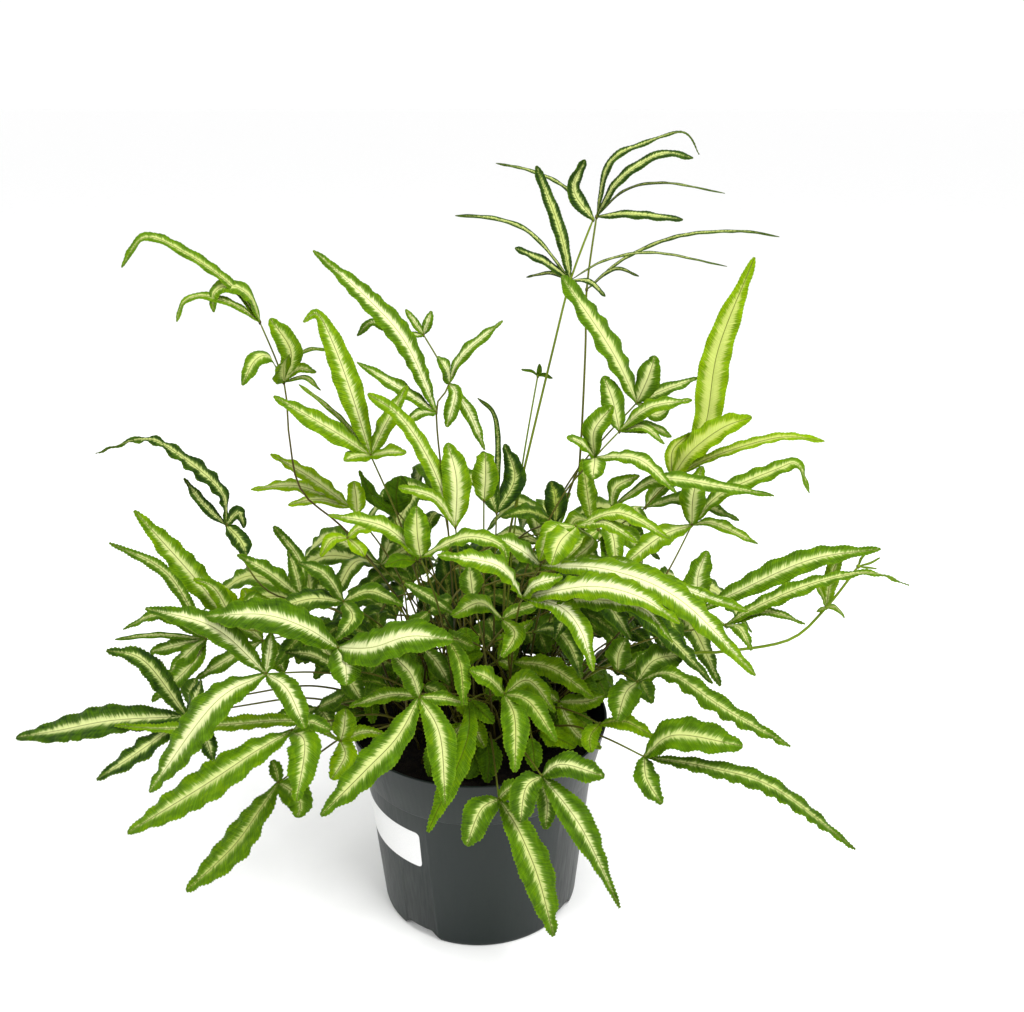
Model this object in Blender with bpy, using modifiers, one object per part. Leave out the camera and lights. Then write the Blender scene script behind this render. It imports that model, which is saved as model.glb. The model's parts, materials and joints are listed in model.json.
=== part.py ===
"""Potted brake fern (a ribbon fern with pale-banded leaflets), in metres, +Z up.

The pot stands on the origin and soil fills it to just under the rim. Each frond is one solid: a wiry
stalk that stands in its own hole in the soil, with its leaflets fused to the hubs along the stalk.
The fronds of the front and sides were measured from the front (-Y) and are written down to about
the nearest millimetre. Those behind follow a rule. A blade that would cross a neighbour is bent
towards or away from the front, so that no two fronds touch.
"""

import math
import random
from collections import namedtuple

import bmesh
import bpy
from mathutils import Matrix, Vector
from mathutils.bvhtree import BVHTree
from mathutils.geometry import normal
from mathutils.kdtree import KDTree

MM = 0.001

# Pot, in metres
POT_HEIGHT = 0.132
RIM_RADIUS = 0.0825
BAND_HEIGHT = 0.032
BAND_FOOT_RADIUS = 0.0750
WALL_TOP_RADIUS = 0.0736
BASE_RADIUS = 0.0642
WALL = 0.0016
FLOOR_TOP = 0.0085
EDGE = 0.0008
FOOT_CURVE = 0.002
FOOT_RING_WIDTH = 0.016
CENTRE_DISC_RADIUS = 0.028
FOOT_HEIGHT = 0.003
FOOT_SLOPE = 0.001
POT_STEPS = 36
DRAIN_COUNT = 8
DRAIN_RADIUS = 0.0035
DRAIN_STEPS = 8
CUTTER_DEPTH = 0.02
NOTCH_COUNT = 4
NOTCH_WIDTH = 0.018
NOTCH_HEIGHT = 0.0068
NOTCH_FLARE = 2.4
NOTCH_REACH = 1.6
NOTCH_OUTSET = 0.0035
NOTCH_FIRST_ANGLE = math.radians(-125)

# Blank label on the front left of the wall
LABEL_TOP = 0.085
LABEL_HEIGHT = 0.0265
LABEL_THICKNESS = 0.0003
LABEL_START = math.radians(-119)
LABEL_SWEEP = math.radians(80)
LABEL_CORNER = 0.003
LABEL_COLUMNS = 10
LABEL_STANDOFF = 0.0008

# Soil
SOIL_TOP = 0.119
SOIL_CROWN = 0.122
SOIL_LEVEL_RADIUS = 0.061
SOIL_LIP = 0.002
GAP = 0.0003

# Stalks
HOLE_DEPTH = 0.012
STALK_RADIUS = 0.0011
STALK_TIP_SHARE = 0.7
BEAD_SHARE = 1.5
BEAD_LENGTH = 0.0012
STALK_SEGMENTS = 4
HUB_SPACING = 0.03
NECK_HEIGHT = 0.004
STALK_MIDDLE = 0.45
STALK_RISE = 0.6
STALK_ARCH = 0.1
FOOT_SPACING = 0.006
NEAREST_FOOT = 0.008
FOOT_LEAN = 0.2
FOOT_TURN = 0.11
FOOT_STEP = 0.0004
FOOT_TRIES = 400
FARTHEST_FOOT = 0.055
STALK_CLEARANCE = 0.0036
STALK_TRIES = 40
STALK_STEP = 0.0022
STALK_LIFT = 0.4
RUN_CHECKS = 24
GOLDEN_TURN = math.radians(137.5)
RIM_CLEARANCE = 0.003
RIM_STEP = 0.003
MOST_RAISED = 0.09

# Leaflets
HALF_THICKNESS = 0.0005
LEAST_HALF_WIDTH = 0.0005
TIP_THINNING = 0.3
FOLD = math.radians(10)
WAVE = 0.0007
SHORT_LEAFLET = 0.045
TINY_LEAFLET = 0.017
BLADE_CLEARANCE = 0.0004
POT_CLEARANCE = 0.002
SLIVER = 0.00025
SHARP = math.radians(40)
HEADING_STEP = 0.04
SKY = Vector((0, -0.5, 0.87))
SIGHT = Vector((0, 0.935, -0.355))
BENDS = (0, 4, -4, 8, -8, 12, -12, 16, -16, 21, -21, 27, -27, 34, -34)
SHARES_OF_LENGTH = (1, 0.85, 0.7, 0.55)

# A blade's half width at each share of its length, as a share of its widest half width
OUTLINES = {
    "lance": ((0, 0.08), (0.16, 0.62), (0.45, 1), (0.76, 0.7), (1, 0)),
    "oval": ((0, 0.08), (0.18, 0.72), (0.5, 1), (0.82, 0.78), (1, 0)),
    "strap": ((0, 0.15), (0.15, 0.7), (0.45, 1), (0.8, 0.76), (1, 0)),
    "tail": ((0, 0.08), (0.14, 0.64), (0.36, 1), (0.66, 0.45), (1, 0)),
}
SHORT_OUTLINE = ((0, 0.08), (0.36, 0.95), (0.74, 0.85), (1, 0))
TINY_OUTLINE = ((0, 0.15), (0.5, 1), (1, 0))

Leaflet = namedtuple("Leaflet", "kind width points roll")
Hub = namedtuple("Hub", "place leaflets")
Frond = namedtuple("Frond", "name hubs")


def leaf(kind, width, *points, roll=0):
    """A leaflet of this width whose midline runs from its hub through points, in mm from the hub."""
    return Leaflet(kind, width, points, roll)


def hub(place, *leaflets):
    """A place in mm on a stalk where leaflets join it."""
    return Hub(place, leaflets)


def measured_fronds():
    """The fronds of the front and sides, in mm."""
    return [
        # Low in front, over the rim
        Frond("frond_front_1", [hub(
            (38, -96, 149),
            leaf("oval", 16, (11, -5, 11), (34, -9, 6)),
            leaf("oval", 16, (-9, -11, 0), (-12, -17, -18)),
            leaf("tail", 18, (16, -17, -12), (27, -25, -29), (43, -29, -66)),
            leaf("oval", 11, (3, -6, -14), (2, -10, -28)),
        )]),
        Frond("frond_front_2", [hub(
            (14, -92, 131),
            leaf("oval", 17, (-10, -13, 2), (-18, -18, -18)),
            leaf("lance", 20, (11, -16, -9), (22, -24, -35), (31, -26, -74)),
            leaf("oval", 10, (5, -3, 8), (14, 0, 11)),
        )]),
        Frond("frond_front_3", [hub(
            (17, -72, 187),
            leaf("oval", 14, (-8, -6, 13), (-19, -10, 21)),
            leaf("lance", 16, (6, -18, -5), (6, -32, -30)),
            leaf("lance", 13, (14, -10, 1), (29, -20, -18)),
            leaf("lance", 13, (14, 10, 3), (29, 4, -14)),
        )]),
        Frond("frond_front_4", [hub(
            (-30, -82, 191),
            leaf("lance", 20, (-11, -16, -15), (-28, -28, -29), (-53, -32, -55)),
            leaf("lance", 17, (12, -16, -14), (15, -30, -49)),
            leaf("oval", 15, (-4, -4, 17), (-13, -8, 31)),
            leaf("lance", 10, (-16, 6, -2), (-41, 10, -12)),
            leaf("lance", 9, (13, 2, -2), (27, -2, -3)),
        )]),
        Frond("frond_front_5", [hub(
            (-3, -62, 177),
            leaf("lance", 14, (-2, -22, -16), (-23, -40, -61)),
            leaf("oval", 9, (5, -4, -3), (14, -8, -10)),
        )]),
        # Left
        Frond("frond_left_1", [hub(
            (-117, -70, 199),
            leaf("lance", 25, (-24, -22, -6), (-64, -28, -59)),
            leaf("lance", 17, (-29, 8, 25), (-69, 16, 33)),
            leaf("oval", 9, (2, 4, 12), (3, 8, 22)),
            leaf("oval", 14, (14, -12, -3), (24, -20, -23)),
        )]),
        Frond("frond_left_2", [hub(
            (-103, -78, 167),
            leaf("lance", 24, (-17, -20, -1), (-44, -28, -17), (-91, -26, -50)),
            leaf("lance", 19, (10, -16, 1), (6, -30, -26)),
            leaf("oval", 11, (11, -4, 8), (23, -6, 4)),
        )]),
        Frond("frond_left_3", [hub(
            (-77, -72, 156),
            leaf("oval", 14, (2, 2, 8), (3, 6, 18)),
            leaf("oval", 15, (4, -12, -2), (-3, -20, -12)),
            leaf("lance", 9, (13, 2, 5), (25, 4, 2)),
            leaf("lance", 10, (-25, 10, 7), (-70, 18, 0), (-107, 20, -4), (-137, 20, -2)),
        )]),
        Frond("frond_left_4", [hub(
            (-120, -52, 114),
            leaf("lance", 23, (-8, -14, -8), (-27, -18, -34), (-57, -20, -64)),
            leaf("oval", 17, (10, -8, -1), (15, -12, -7), (13, -14, -15)),
            leaf("oval", 8, (-1, 2, 6), (-4, 6, 12)),
        )]),
        Frond("frond_left_5", [hub(
            (-77, -62, 211),
            leaf("oval", 23, (-16, -8, 17), (-40, -4, 23), (-73, 2, 19)),
            leaf("oval", 26, (22, -20, 11), (44, -28, 22), (67, -30, 21)),
            leaf("oval", 20, (6, -14, -2), (8, -26, -9)),
        )]),
        Frond("frond_left_6", [hub(
            (-77, -35, 227),
            leaf("lance", 17, (-18, -7, 5), (-42, -9, -2)),
            leaf("lance", 12, (-10, 1, 17), (-26, 5, 23)),
            leaf("lance", 12, (16, 1, 6), (35, -1, -2)),
            leaf("lance", 13, (7, -13, -4), (-2, -21, -14)),
        )]),
        Frond("frond_left_7", [hub(
            (-145, -22, 203),
            leaf("lance", 17, (-22, -4, 38), (-49, -8, 79)),
            leaf("lance", 11, (-6, -12, 31), (-17, -16, 40)),
            leaf("oval", 10, (10, 4, 17), (26, 2, 10)),
        )]),
        Frond("frond_left_8", [hub(
            (-174, -42, 154),
            leaf("lance", 14, (-18, -8, 42), (-40, -6, 48)),
            leaf("oval", 11, (7, -4, 13), (12, -2, 26)),
            leaf("lance", 23, (-43, -8, 1), (-82, -4, -10), (-115, 0, -19)),
            leaf("strap", 8, (-19, -4, -3), (-40, -2, -6)),
            leaf("lance", 15, (-26, -12, -16), (-54, -14, -35)),
            leaf("oval", 11, (11, -6, -9), (16, -10, -24)),
        )]),
        Frond("frond_left_9", [hub(
            (-171, 2, 183),
            leaf("lance", 9, (-20, 2, 44), (-54, 4, 64)),
            leaf("lance", 9, (-26, 0, 17), (-52, 2, 6)),
            leaf("strap", 5, (-28, -4, 5), (-55, -6, 3)),
            leaf("lance", 13, (-7, -8, -3), (-23, -12, -19)),
            leaf("lance", 16, (-7, -14, -11), (-31, -22, -32)),
            leaf("oval", 12, (-17, -2, -3), (-35, -4, -7)),
        )]),
        Frond("frond_left_10", [hub(
            (-106, -12, 218),
            leaf("lance", 13, (-17, -8, 21), (-34, -10, 33)),
            leaf("lance", 9, (-3, 2, 18), (-7, 4, 30)),
            leaf("strap", 8, (-4, 22, 15), (-20, 28, 36)),
        )]),
        Frond("frond_left_11", [hub(
            (-75, -18, 260),
            leaf("oval", 9, (-9, -2, 0), (-16, -4, -10)),
            leaf("oval", 10, (7, 0, 6), (16, 0, 6)),
            leaf("oval", 9, (7, -4, -5), (10, -6, -9)),
        )]),
        Frond("frond_left_12", [hub(
            (-77, 14, 267),
            leaf("lance", 12, (-23, -6, 22), (-45, -8, 37)),
            leaf("lance", 11, (-31, 0, 14), (-61, 2, 11)),
            leaf("strap", 8, (-17, -10, 9), (-35, -14, 7)),
        )]),
        Frond("frond_left_13", [hub(
            (-80, -48, 190),
            leaf("lance", 12, (-14, -4, 11), (-29, -6, 14)),
            leaf("lance", 13, (-11, -6, -5), (-24, -8, -17)),
            leaf("oval", 11, (-8, 4, 10), (-14, 4, 21)),
            leaf("oval", 13, (7, -4, -6), (14, -8, -17)),
        )]),
        # Upper left
        Frond("frond_high_left_1", [
            hub((-103, -2, 283)),
            hub(
                (-112, 12, 346),
                leaf("oval", 14, (5, 2, 18), (-6, 4, 37)),
                leaf("oval", 18, (2, -8, 11), (6, -14, 19)),
                leaf("oval", 13, (-6, -8, 17), (-13, -14, 16), (-20, -18, 3)),
                leaf("lance", 9, (9, 0, 8), (20, -4, 7)),
                leaf("lance", 5, (13, -4, 4), (23, -10, -2)),
                leaf("strap", 4, (4, 10, 11), (14, 12, 17), (25, 10, 17)),
            ),
            hub(
                (-125, 20, 380),
                leaf("strap", 9, (-13, -6, 22), (-37, -12, 42), (-56, -16, 50), (-70, -18, 34)),
                leaf("lance", 14, (-4, -2, 15), (-13, -6, 22), (-22, -10, 19), (-23, -12, 8)),
                leaf("strap", 7, (-11, -8, 11), (-28, -10, 17), (-39, -12, 14), (-44, -14, 3)),
            ),
        ]),
        Frond("frond_high_left_2", [
            hub((-129, -4, 220)),
            hub(
                (-152, 5, 259),
                leaf("tail", 12, (-1, -3, 24), (-25, -9, 51), (-41, -11, 58), (-68, -13, 50)),
                leaf("lance", 8, (-11, -3, 14), (-21, -5, 32)),
                leaf("oval", 9, (7, 3, 7), (10, 3, -3)),
                leaf("oval", 12, (9, -5, -8), (13, -9, -16)),
            ),
        ]),
        Frond("frond_high_left_3", [hub(
            (-60, -12, 309),
            leaf("lance", 16, (-19, -8, 17), (-52, -6, 37)),
            leaf("lance", 16, (-9, 0, 36), (-19, 8, 63), (-28, 14, 79), (-36, 12, 75)),
            leaf("oval", 12, (-7, -10, 3), (-13, -16, 2)),
            leaf("oval", 12, (12, -10, 5), (22, -14, 6)),
            leaf("lance", 13, (8, 2, 16), (22, 6, 40)),
            leaf("strap", 4, (-15, 8, 17), (-29, 10, 30), (-41, 12, 39)),
        )]),
        Frond("frond_high_left_4", [
            hub(
                (-23, 8, 329),
                leaf("lance", 17, (-16, -4, 42), (-38, -2, 68), (-67, 4, 93)),
                leaf("strap", 9, (-18, 8, 38), (-35, 12, 51), (-46, 12, 43)),
                leaf("lance", 12, (-20, -6, 16), (-44, -8, 32)),
                leaf("oval", 9, (-9, -8, 2), (-16, -12, -2)),
            ),
            hub(
                (-16, 22, 343),
                leaf("oval", 13, (-1, -6, 10), (-6, -8, 18)),
                leaf("lance", 11, (8, 4, 16), (32, 2, 37)),
                leaf("lance", 9, (12, -4, -17), (21, -8, -39)),
                leaf("oval", 10, (4, -8, -5), (-1, -14, -23)),
            ),
            hub(
                (-32, 42, 368),
                leaf("oval", 7, (-5, -2, 8), (-10, -4, 16)),
                leaf("oval", 7, (3, 0, 8), (5, 2, 14)),
                leaf("oval", 7, (-7, -6, 1), (-13, -8, 4)),
            ),
        ]),
        # Middle
        Frond("frond_middle_1", [
            hub(
                (27, -78, 250),
                leaf("lance", 16, (-13, -14, 25), (-44, -18, 33)),
                leaf("oval", 12, (7, -6, 11), (21, -10, 17)),
                leaf("lance", 19, (34, -20, 16), (59, -30, 15), (80, -34, 2)),
                leaf("lance", 14, (32, -16, 7), (60, -28, 8), (77, -34, -9)),
                leaf("lance", 14, (19, -16, 3), (30, -26, -6), (37, -30, -28)),
            ),
            hub(
                (37, -60, 261),
                leaf("lance", 20, (36, -24, 8), (71, -44, 0), (110, -56, -37)),
                leaf("strap", 10, (38, -10, 6), (73, -26, -1), (108, -36, -10)),
                leaf("oval", 15, (-11, -6, 12), (-24, -10, 21)),
            ),
        ]),
        Frond("frond_middle_2", [hub(
            (-29, -58, 265),
            leaf("lance", 12, (-19, -4, 20), (-49, -2, 26)),
            leaf("oval", 15, (-1, -4, 15), (-1, -4, 32)),
            leaf("lance", 12, (25, -12, 17), (44, -20, 16), (48, -24, 6)),
        )]),
        Frond("frond_middle_3", [hub(
            (16, -62, 229),
            leaf("oval", 14, (-12, -10, 15), (-27, -18, 11)),
            leaf("lance", 10, (7, 4, 3), (24, 6, 8)),
            leaf("lance", 12, (7, -10, -4), (0, -18, -14)),
        )]),
        Frond("frond_middle_4", [hub(
            (-15, -66, 220),
            leaf("lance", 11, (8, -10, -12), (10, -16, -34)),
            leaf("oval", 14, (-13, 10, -7), (-25, 16, -3)),
            leaf("oval", 14, (6, 8, -6), (15, 10, -12)),
        )]),
        Frond("frond_middle_5", [hub(
            (-11, -30, 272),
            leaf("strap", 11, (-14, 4, 38), (-30, 8, 63), (-48, 10, 76)),
            leaf("oval", 17, (1, 2, 28), (-4, 8, 48)),
            leaf("strap", 9, (-11, -4, 19), (-31, -8, 27)),
        )]),
        Frond("frond_middle_6", [hub(
            (12, 8, 266),
            leaf("oval", 14, (-6, 0, 21), (-8, 4, 38)),
            leaf("lance", 15, (11, 8, 19), (5, 12, 40)),
            leaf("strap", 4, (1, 6, 44), (-2, 8, 61), (-11, 10, 69)),
        )]),
        Frond("frond_middle_7", [hub(
            (48, 12, 258),
            leaf("oval", 15, (0, 2, 15), (-3, 6, 25)),
            leaf("lance", 13, (-17, -8, 10), (-33, -12, 8)),
        )]),
        Frond("frond_middle_8", [hub(
            (37, 36, 344),
            leaf("strap", 3, (-4, 0, 3), (-10, 0, 4)),
            leaf("oval", 4, (1, -2, 4), (1, -2, 8)),
            leaf("oval", 4, (4, -2, 1), (9, -2, -1)),
        )]),
        Frond("frond_middle_9", [hub(
            (56, -62, 285),
            leaf("oval", 17, (-9, -16, -2), (-14, -22, -13)),
            leaf("oval", 12, (-13, -8, 1), (-20, -14, -14)),
            leaf("lance", 11, (23, -8, 11), (50, -14, -2)),
            leaf("lance", 9, (15, -10, 6), (32, -16, -3)),
            leaf("lance", 12, (10, 4, -10), (-3, 8, -25)),
        )]),
        # Tall narrow fertile fronds
        Frond("frond_tall_1", [
            hub((19, 10, 246)),
            hub(
                (56, 40, 401),
                leaf("strap", 10, (-7, -2, 29), (-21, -6, 65)),
                leaf("strap", 5, (-23, -6, 27), (-44, -8, 36), (-67, -10, 38)),
                leaf("strap", 10, (-15, -6, 11), (-33, -12, 20)),
                leaf("strap", 4, (-12, 6, 3), (-26, 10, 0)),
                leaf("strap", 5, (11, -6, 0), (20, -10, -8)),
                leaf("strap", 3, (21, 4, 11), (50, 6, 15), (93, 6, 7)),
            ),
            hub(
                (69, 48, 435),
                leaf("strap", 11, (-12, -4, 17), (-6, -6, 34)),
                leaf("strap", 4, (-17, 4, 18), (-37, 6, 27), (-57, 8, 31)),
            ),
        ]),
        Frond("frond_tall_2", [
            hub((64, 40, 292)),
            hub(
                (67, 60, 392),
                leaf("strap", 4, (23, 0, 19), (55, 0, 32), (91, -2, 35), (114, -4, 32)),
                leaf("strap", 4, (16, -4, 13), (31, -6, 9)),
            ),
            hub(
                (72, 62, 435),
                leaf("tail", 8, (7, -2, 31), (27, -2, 42), (49, -4, 48), (58, -8, 36)),
                leaf("strap", 9, (13, -4, 22), (36, -4, 36), (55, -6, 34)),
                leaf("strap", 3, (17, 4, 15), (41, 6, 19), (77, 6, 13)),
                leaf("strap", 9, (20, -4, 2), (51, -6, -1)),
            ),
        ]),
        # Right
        Frond("frond_right_1", [hub(
            (95, -92, 159),
            leaf("oval", 21, (15, -8, 19), (51, -14, 16)),
            leaf("lance", 12, (34, -12, 1), (69, -18, -8), (117, -20, -47)),
            leaf("lance", 14, (0, -14, -5), (8, -20, -17)),
        )]),
        Frond("frond_right_2", [
            hub(
                (84, -40, 184),
                leaf("oval", 15, (0, -2, 12), (4, -2, 23)),
                leaf("lance", 9, (9, 6, 1), (20, 10, 9)),
            ),
            hub(
                (93, -62, 189),
                leaf("lance", 13, (17, -12, 12), (46, -24, -3), (84, -26, -26)),
                leaf("oval", 18, (10, 4, 12), (29, 6, 15)),
                leaf("oval", 18, (-8, -14, 1), (-13, -22, -12)),
            ),
        ]),
        Frond("frond_right_3", [hub(
            (72, -68, 165),
            leaf("lance", 11, (13, -10, 8), (30, -18, 2)),
            leaf("oval", 10, (-6, -8, -3), (-6, -14, -10)),
        )]),
        Frond("frond_right_4", [hub(
            (136, -18, 213),
            leaf("lance", 18, (21, -4, 15), (61, -4, 35), (102, -2, 41)),
            leaf("oval", 17, (-5, -4, 22), (0, -2, 40)),
        )]),
        Frond("frond_right_5", [hub(
            (148, -30, 209),
            leaf("tail", 12, (16, -4, 14), (47, -6, 30), (79, -4, 36), (104, -4, 28)),
            leaf("lance", 9, (6, -12, 4), (12, -20, -6)),
            leaf("lance", 7, (22, -4, 11), (46, -4, 3)),
            leaf("strap", 5, (-9, -6, 8), (-17, -10, 10)),
        )]),
        Frond("frond_right_6", [
            hub((148, -22, 187)),
            hub((190, -18, 193)),
            hub(
                (213, -10, 211),
                leaf("oval", 10, (0, -2, 20), (4, -2, 37)),
                leaf("lance", 6, (-6, -4, 13), (-14, -6, 23)),
                leaf("oval", 4, (-4, -6, 2), (-8, -8, 1)),
                leaf("strap", 5, (7, 4, -2), (14, 6, -10)),
            ),
            hub(
                (233, 0, 234),
                leaf("strap", 2, (1, 0, 5), (4, 0, 9)),
                leaf("strap", 2, (7, 2, 1), (14, 4, 4)),
                leaf("strap", 2, (4, -2, 0), (10, -4, 0)),
            ),
        ]),
        Frond("frond_right_7", [hub(
            (127, -15, 267),
            leaf("lance", 16, (0, 1, 19), (5, 5, 35)),
            leaf("lance", 13, (16, 3, 18), (48, 5, 33), (60, 5, 36), (68, 3, 19)),
            leaf("lance", 15, (-20, -15, -1), (-45, -27, -16)),
            leaf("lance", 9, (13, -3, 2), (38, -7, -9)),
        )]),
        Frond("frond_right_8", [hub(
            (103, 12, 268),
            leaf("lance", 12, (23, -8, 8), (55, -12, -4)),
            leaf("lance", 12, (9, 6, 10), (24, 8, 16)),
            leaf("lance", 8, (-7, -8, -2), (1, -16, -14)),
        )]),
        Frond("frond_right_9", [
            hub(
                (77, -10, 267),
                leaf("lance", 13, (3, -20, -3), (4, -26, -19)),
                leaf("lance", 14, (16, -2, -11), (22, -4, -27)),
            ),
            hub(
                (79, -22, 281),
                leaf("lance", 12, (26, -6, 19), (63, -8, 15), (91, -8, 10)),
                leaf("lance", 12, (2, -2, 13), (15, -2, 20)),
            ),
        ]),
        Frond("frond_right_10", [
            hub(
                (69, -15, 309),
                leaf("oval", 15, (-1, -3, 17), (9, -5, 32)),
                leaf("oval", 11, (-9, -7, 11), (-17, -11, 15)),
                leaf("lance", 12, (25, -9, 1), (46, -15, -17)),
                leaf("oval", 14, (-1, -9, -2), (-2, -13, -9)),
            ),
            hub(
                (84, 0, 320),
                leaf("lance", 13, (16, -6, 16), (40, -8, 21)),
                leaf("lance", 8, (13, -8, 5), (25, -12, -4)),
                leaf("oval", 10, (18, 2, 2), (31, 2, -4)),
                leaf("oval", 15, (-4, 4, 17), (-10, 4, 32)),
            ),
        ]),
        Frond("frond_right_11", [hub(
            (95, 12, 334),
            leaf("strap", 19, (-17, -4, 33), (-46, -8, 75)),
            leaf("oval", 16, (5, -4, 15), (9, -4, 29)),
            leaf("lance", 10, (16, 2, 7), (36, 4, 14)),
            leaf("lance", 12, (11, -2, -7), (21, -2, -1)),
        )]),
        Frond("frond_right_12", [hub(
            (116, -2, 292),
            leaf("lance", 19, (19, 12, 26), (25, 16, 73), (42, 16, 126)),
            leaf("oval", 18, (9, -6, 18), (26, -8, 33), (42, -10, 40)),
            leaf("strap", 8, (25, 2, 13), (63, 6, 23), (90, 8, 20)),
            leaf("lance", 9, (2, 16, 12), (14, 20, 22)),
        )]),
        Frond("frond_right_13", [hub(
            (70, 10, 259),
            leaf("lance", 13, (-3, 4, 19), (-6, 6, 39)),
            leaf("lance", 12, (-10, -6, 4), (-16, -10, -6)),
        )]),
        Frond("frond_right_14", [hub(
            (65, -36, 235),
            leaf("lance", 14, (23, -6, -5), (46, -10, -24), (71, -14, -51)),
            leaf("lance", 14, (12, -8, -6), (25, -14, -25)),
            leaf("lance", 13, (-10, -8, -6), (-19, -14, -25)),
            leaf("oval", 12, (-16, 0, 3), (-31, 0, -6)),
        )]),
        # Young fronds inside the rim
        Frond("frond_low_1", [hub(
            (50, -32, 158),
            leaf("oval", 14, (16, -6, 4), (27, -6, 8)),
            leaf("lance", 13, (8, -20, -8), (22, -30, -12)),
            leaf("oval", 12, (-10, 4, 4), (-20, 4, 2)),
        )]),
        Frond("frond_low_2", [hub(
            (22, -20, 179),
            leaf("lance", 16, (25, -6, -1), (50, -10, -18)),
            leaf("lance", 13, (-14, -10, 2), (-26, -18, -12)),
            leaf("oval", 12, (-2, 12, 8), (-8, 24, 4)),
        )]),
        Frond("frond_low_3", [hub(
            (-8, -42, 150),
            leaf("oval", 12, (8, -8, 0), (16, -14, -10)),
            leaf("lance", 12, (-6, -12, -4), (-12, -20, -16)),
            leaf("oval", 11, (-10, 4, 4), (-22, 4, 0)),
        )]),
    ]


# Fronds behind, placed by a rule, in mm and degrees
BACK_SEED = 11
BACK_COUNT = 7
BACK_FIRST_HEADING = 14
BACK_HEADING_STEP = 25
BACK_REACHES = (112, 64, 92)
BACK_HEIGHTS = (188, 248, 214)
BACK_SPREAD = 8
BACK_TURN_SPREAD = 9
BACK_LENGTHS = (0.85, 1.1)
BACK_RISES = (6, 16)
BACK_DROOPS = (18, 40)
BACK_DROOP_LENGTH = 70
BACK_OVAL_LENGTH = 55
BACK_TIP_SHARE = 0.94
BACK_LEAFLETS = (
    # turn from the frond's heading, length, width
    (0, 92, 18),
    (48, 74, 16),
    (-52, 70, 16),
    (104, 50, 13),
    (-98, 46, 13),
)


def arching_leaf(turn, length, width, rise, droop):
    """A leaflet that leaves its hub at this compass turn, rises and then droops."""
    out = Vector((math.cos(math.radians(turn)), math.sin(math.radians(turn)), 0))
    middle = out * length / 2 + Vector((0, 0, rise))
    tip = out * length * BACK_TIP_SHARE + Vector((0, 0, rise - droop))
    kind = "oval" if length < BACK_OVAL_LENGTH else "lance"
    return leaf(kind, width, tuple(middle), tuple(tip))


def back_fronds():
    """Fronds that fan out behind the others, near ones taller than far ones."""
    draw = random.Random(BACK_SEED)
    fronds = []
    for index in range(BACK_COUNT):
        heading = BACK_FIRST_HEADING + index * BACK_HEADING_STEP
        reach = BACK_REACHES[index % 3] + draw.uniform(-BACK_SPREAD, BACK_SPREAD)
        height = BACK_HEIGHTS[index % 3] + draw.uniform(-BACK_SPREAD, BACK_SPREAD)
        angle = math.radians(heading)
        place = (reach * math.cos(angle), reach * math.sin(angle), height)
        leaflets = [
            arching_leaf(
                heading + turn + draw.uniform(-BACK_TURN_SPREAD, BACK_TURN_SPREAD),
                length * draw.uniform(*BACK_LENGTHS),
                width,
                draw.uniform(*BACK_RISES),
                draw.uniform(*BACK_DROOPS) * length / BACK_DROOP_LENGTH,
            )
            for turn, length, width in BACK_LEAFLETS
        ]
        fronds.append(Frond(f"frond_back_{index + 1}", [hub(place, *leaflets)]))
    return fronds


class Route:
    """A smooth curve through points, read by share of its length."""

    SAMPLES = 10

    def __init__(self, points):
        ends = [points[0] * 2 - points[1], *points, points[-1] * 2 - points[-2]]
        self.places = [points[0].copy()]
        for a, b, c, d in zip(ends, ends[1:], ends[2:], ends[3:]):
            for step in range(1, self.SAMPLES + 1):
                t = step / self.SAMPLES
                even = 2 * b + (c - a) * t
                bend = (2 * a - 5 * b + 4 * c - d) * t**2 + (3 * b - a - 3 * c + d) * t**3
                self.places.append((even + bend) / 2)
        self.lengths = [0.0]
        for a, b in zip(self.places, self.places[1:]):
            self.lengths.append(self.lengths[-1] + (b - a).length)
        self.length = self.lengths[-1]

    def at(self, share):
        """The place at this share of the curve's length."""
        wanted = min(max(share, 0), 1) * self.length
        for i in range(1, len(self.lengths)):
            if self.lengths[i] >= wanted:
                run = self.lengths[i] - self.lengths[i - 1]
                part = (wanted - self.lengths[i - 1]) / run
                return self.places[i - 1].lerp(self.places[i], part)
        return self.places[-1].copy()

    def heading(self, share):
        """The curve's direction at this share of its length."""
        return (self.at(share + HEADING_STEP) - self.at(share - HEADING_STEP)).normalized()


def across(vector, heading):
    """The part of vector square to heading, at length 1."""
    return (vector - heading * vector.dot(heading)).normalized()


def blade_frames(route, shares, roll):
    """The upper side's direction at each share: set at the middle, then carried both ways untwisted."""
    headings = [route.heading(share) for share in shares]
    middle = len(shares) // 2
    turn = Matrix.Rotation(math.radians(roll), 3, headings[middle])
    uppers = [None] * len(shares)
    uppers[middle] = turn @ across(SKY, headings[middle])
    for i in range(middle + 1, len(shares)):
        uppers[i] = across(uppers[i - 1], headings[i])
    for i in range(middle - 1, -1, -1):
        uppers[i] = across(uppers[i + 1], headings[i])
    return headings, uppers


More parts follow.
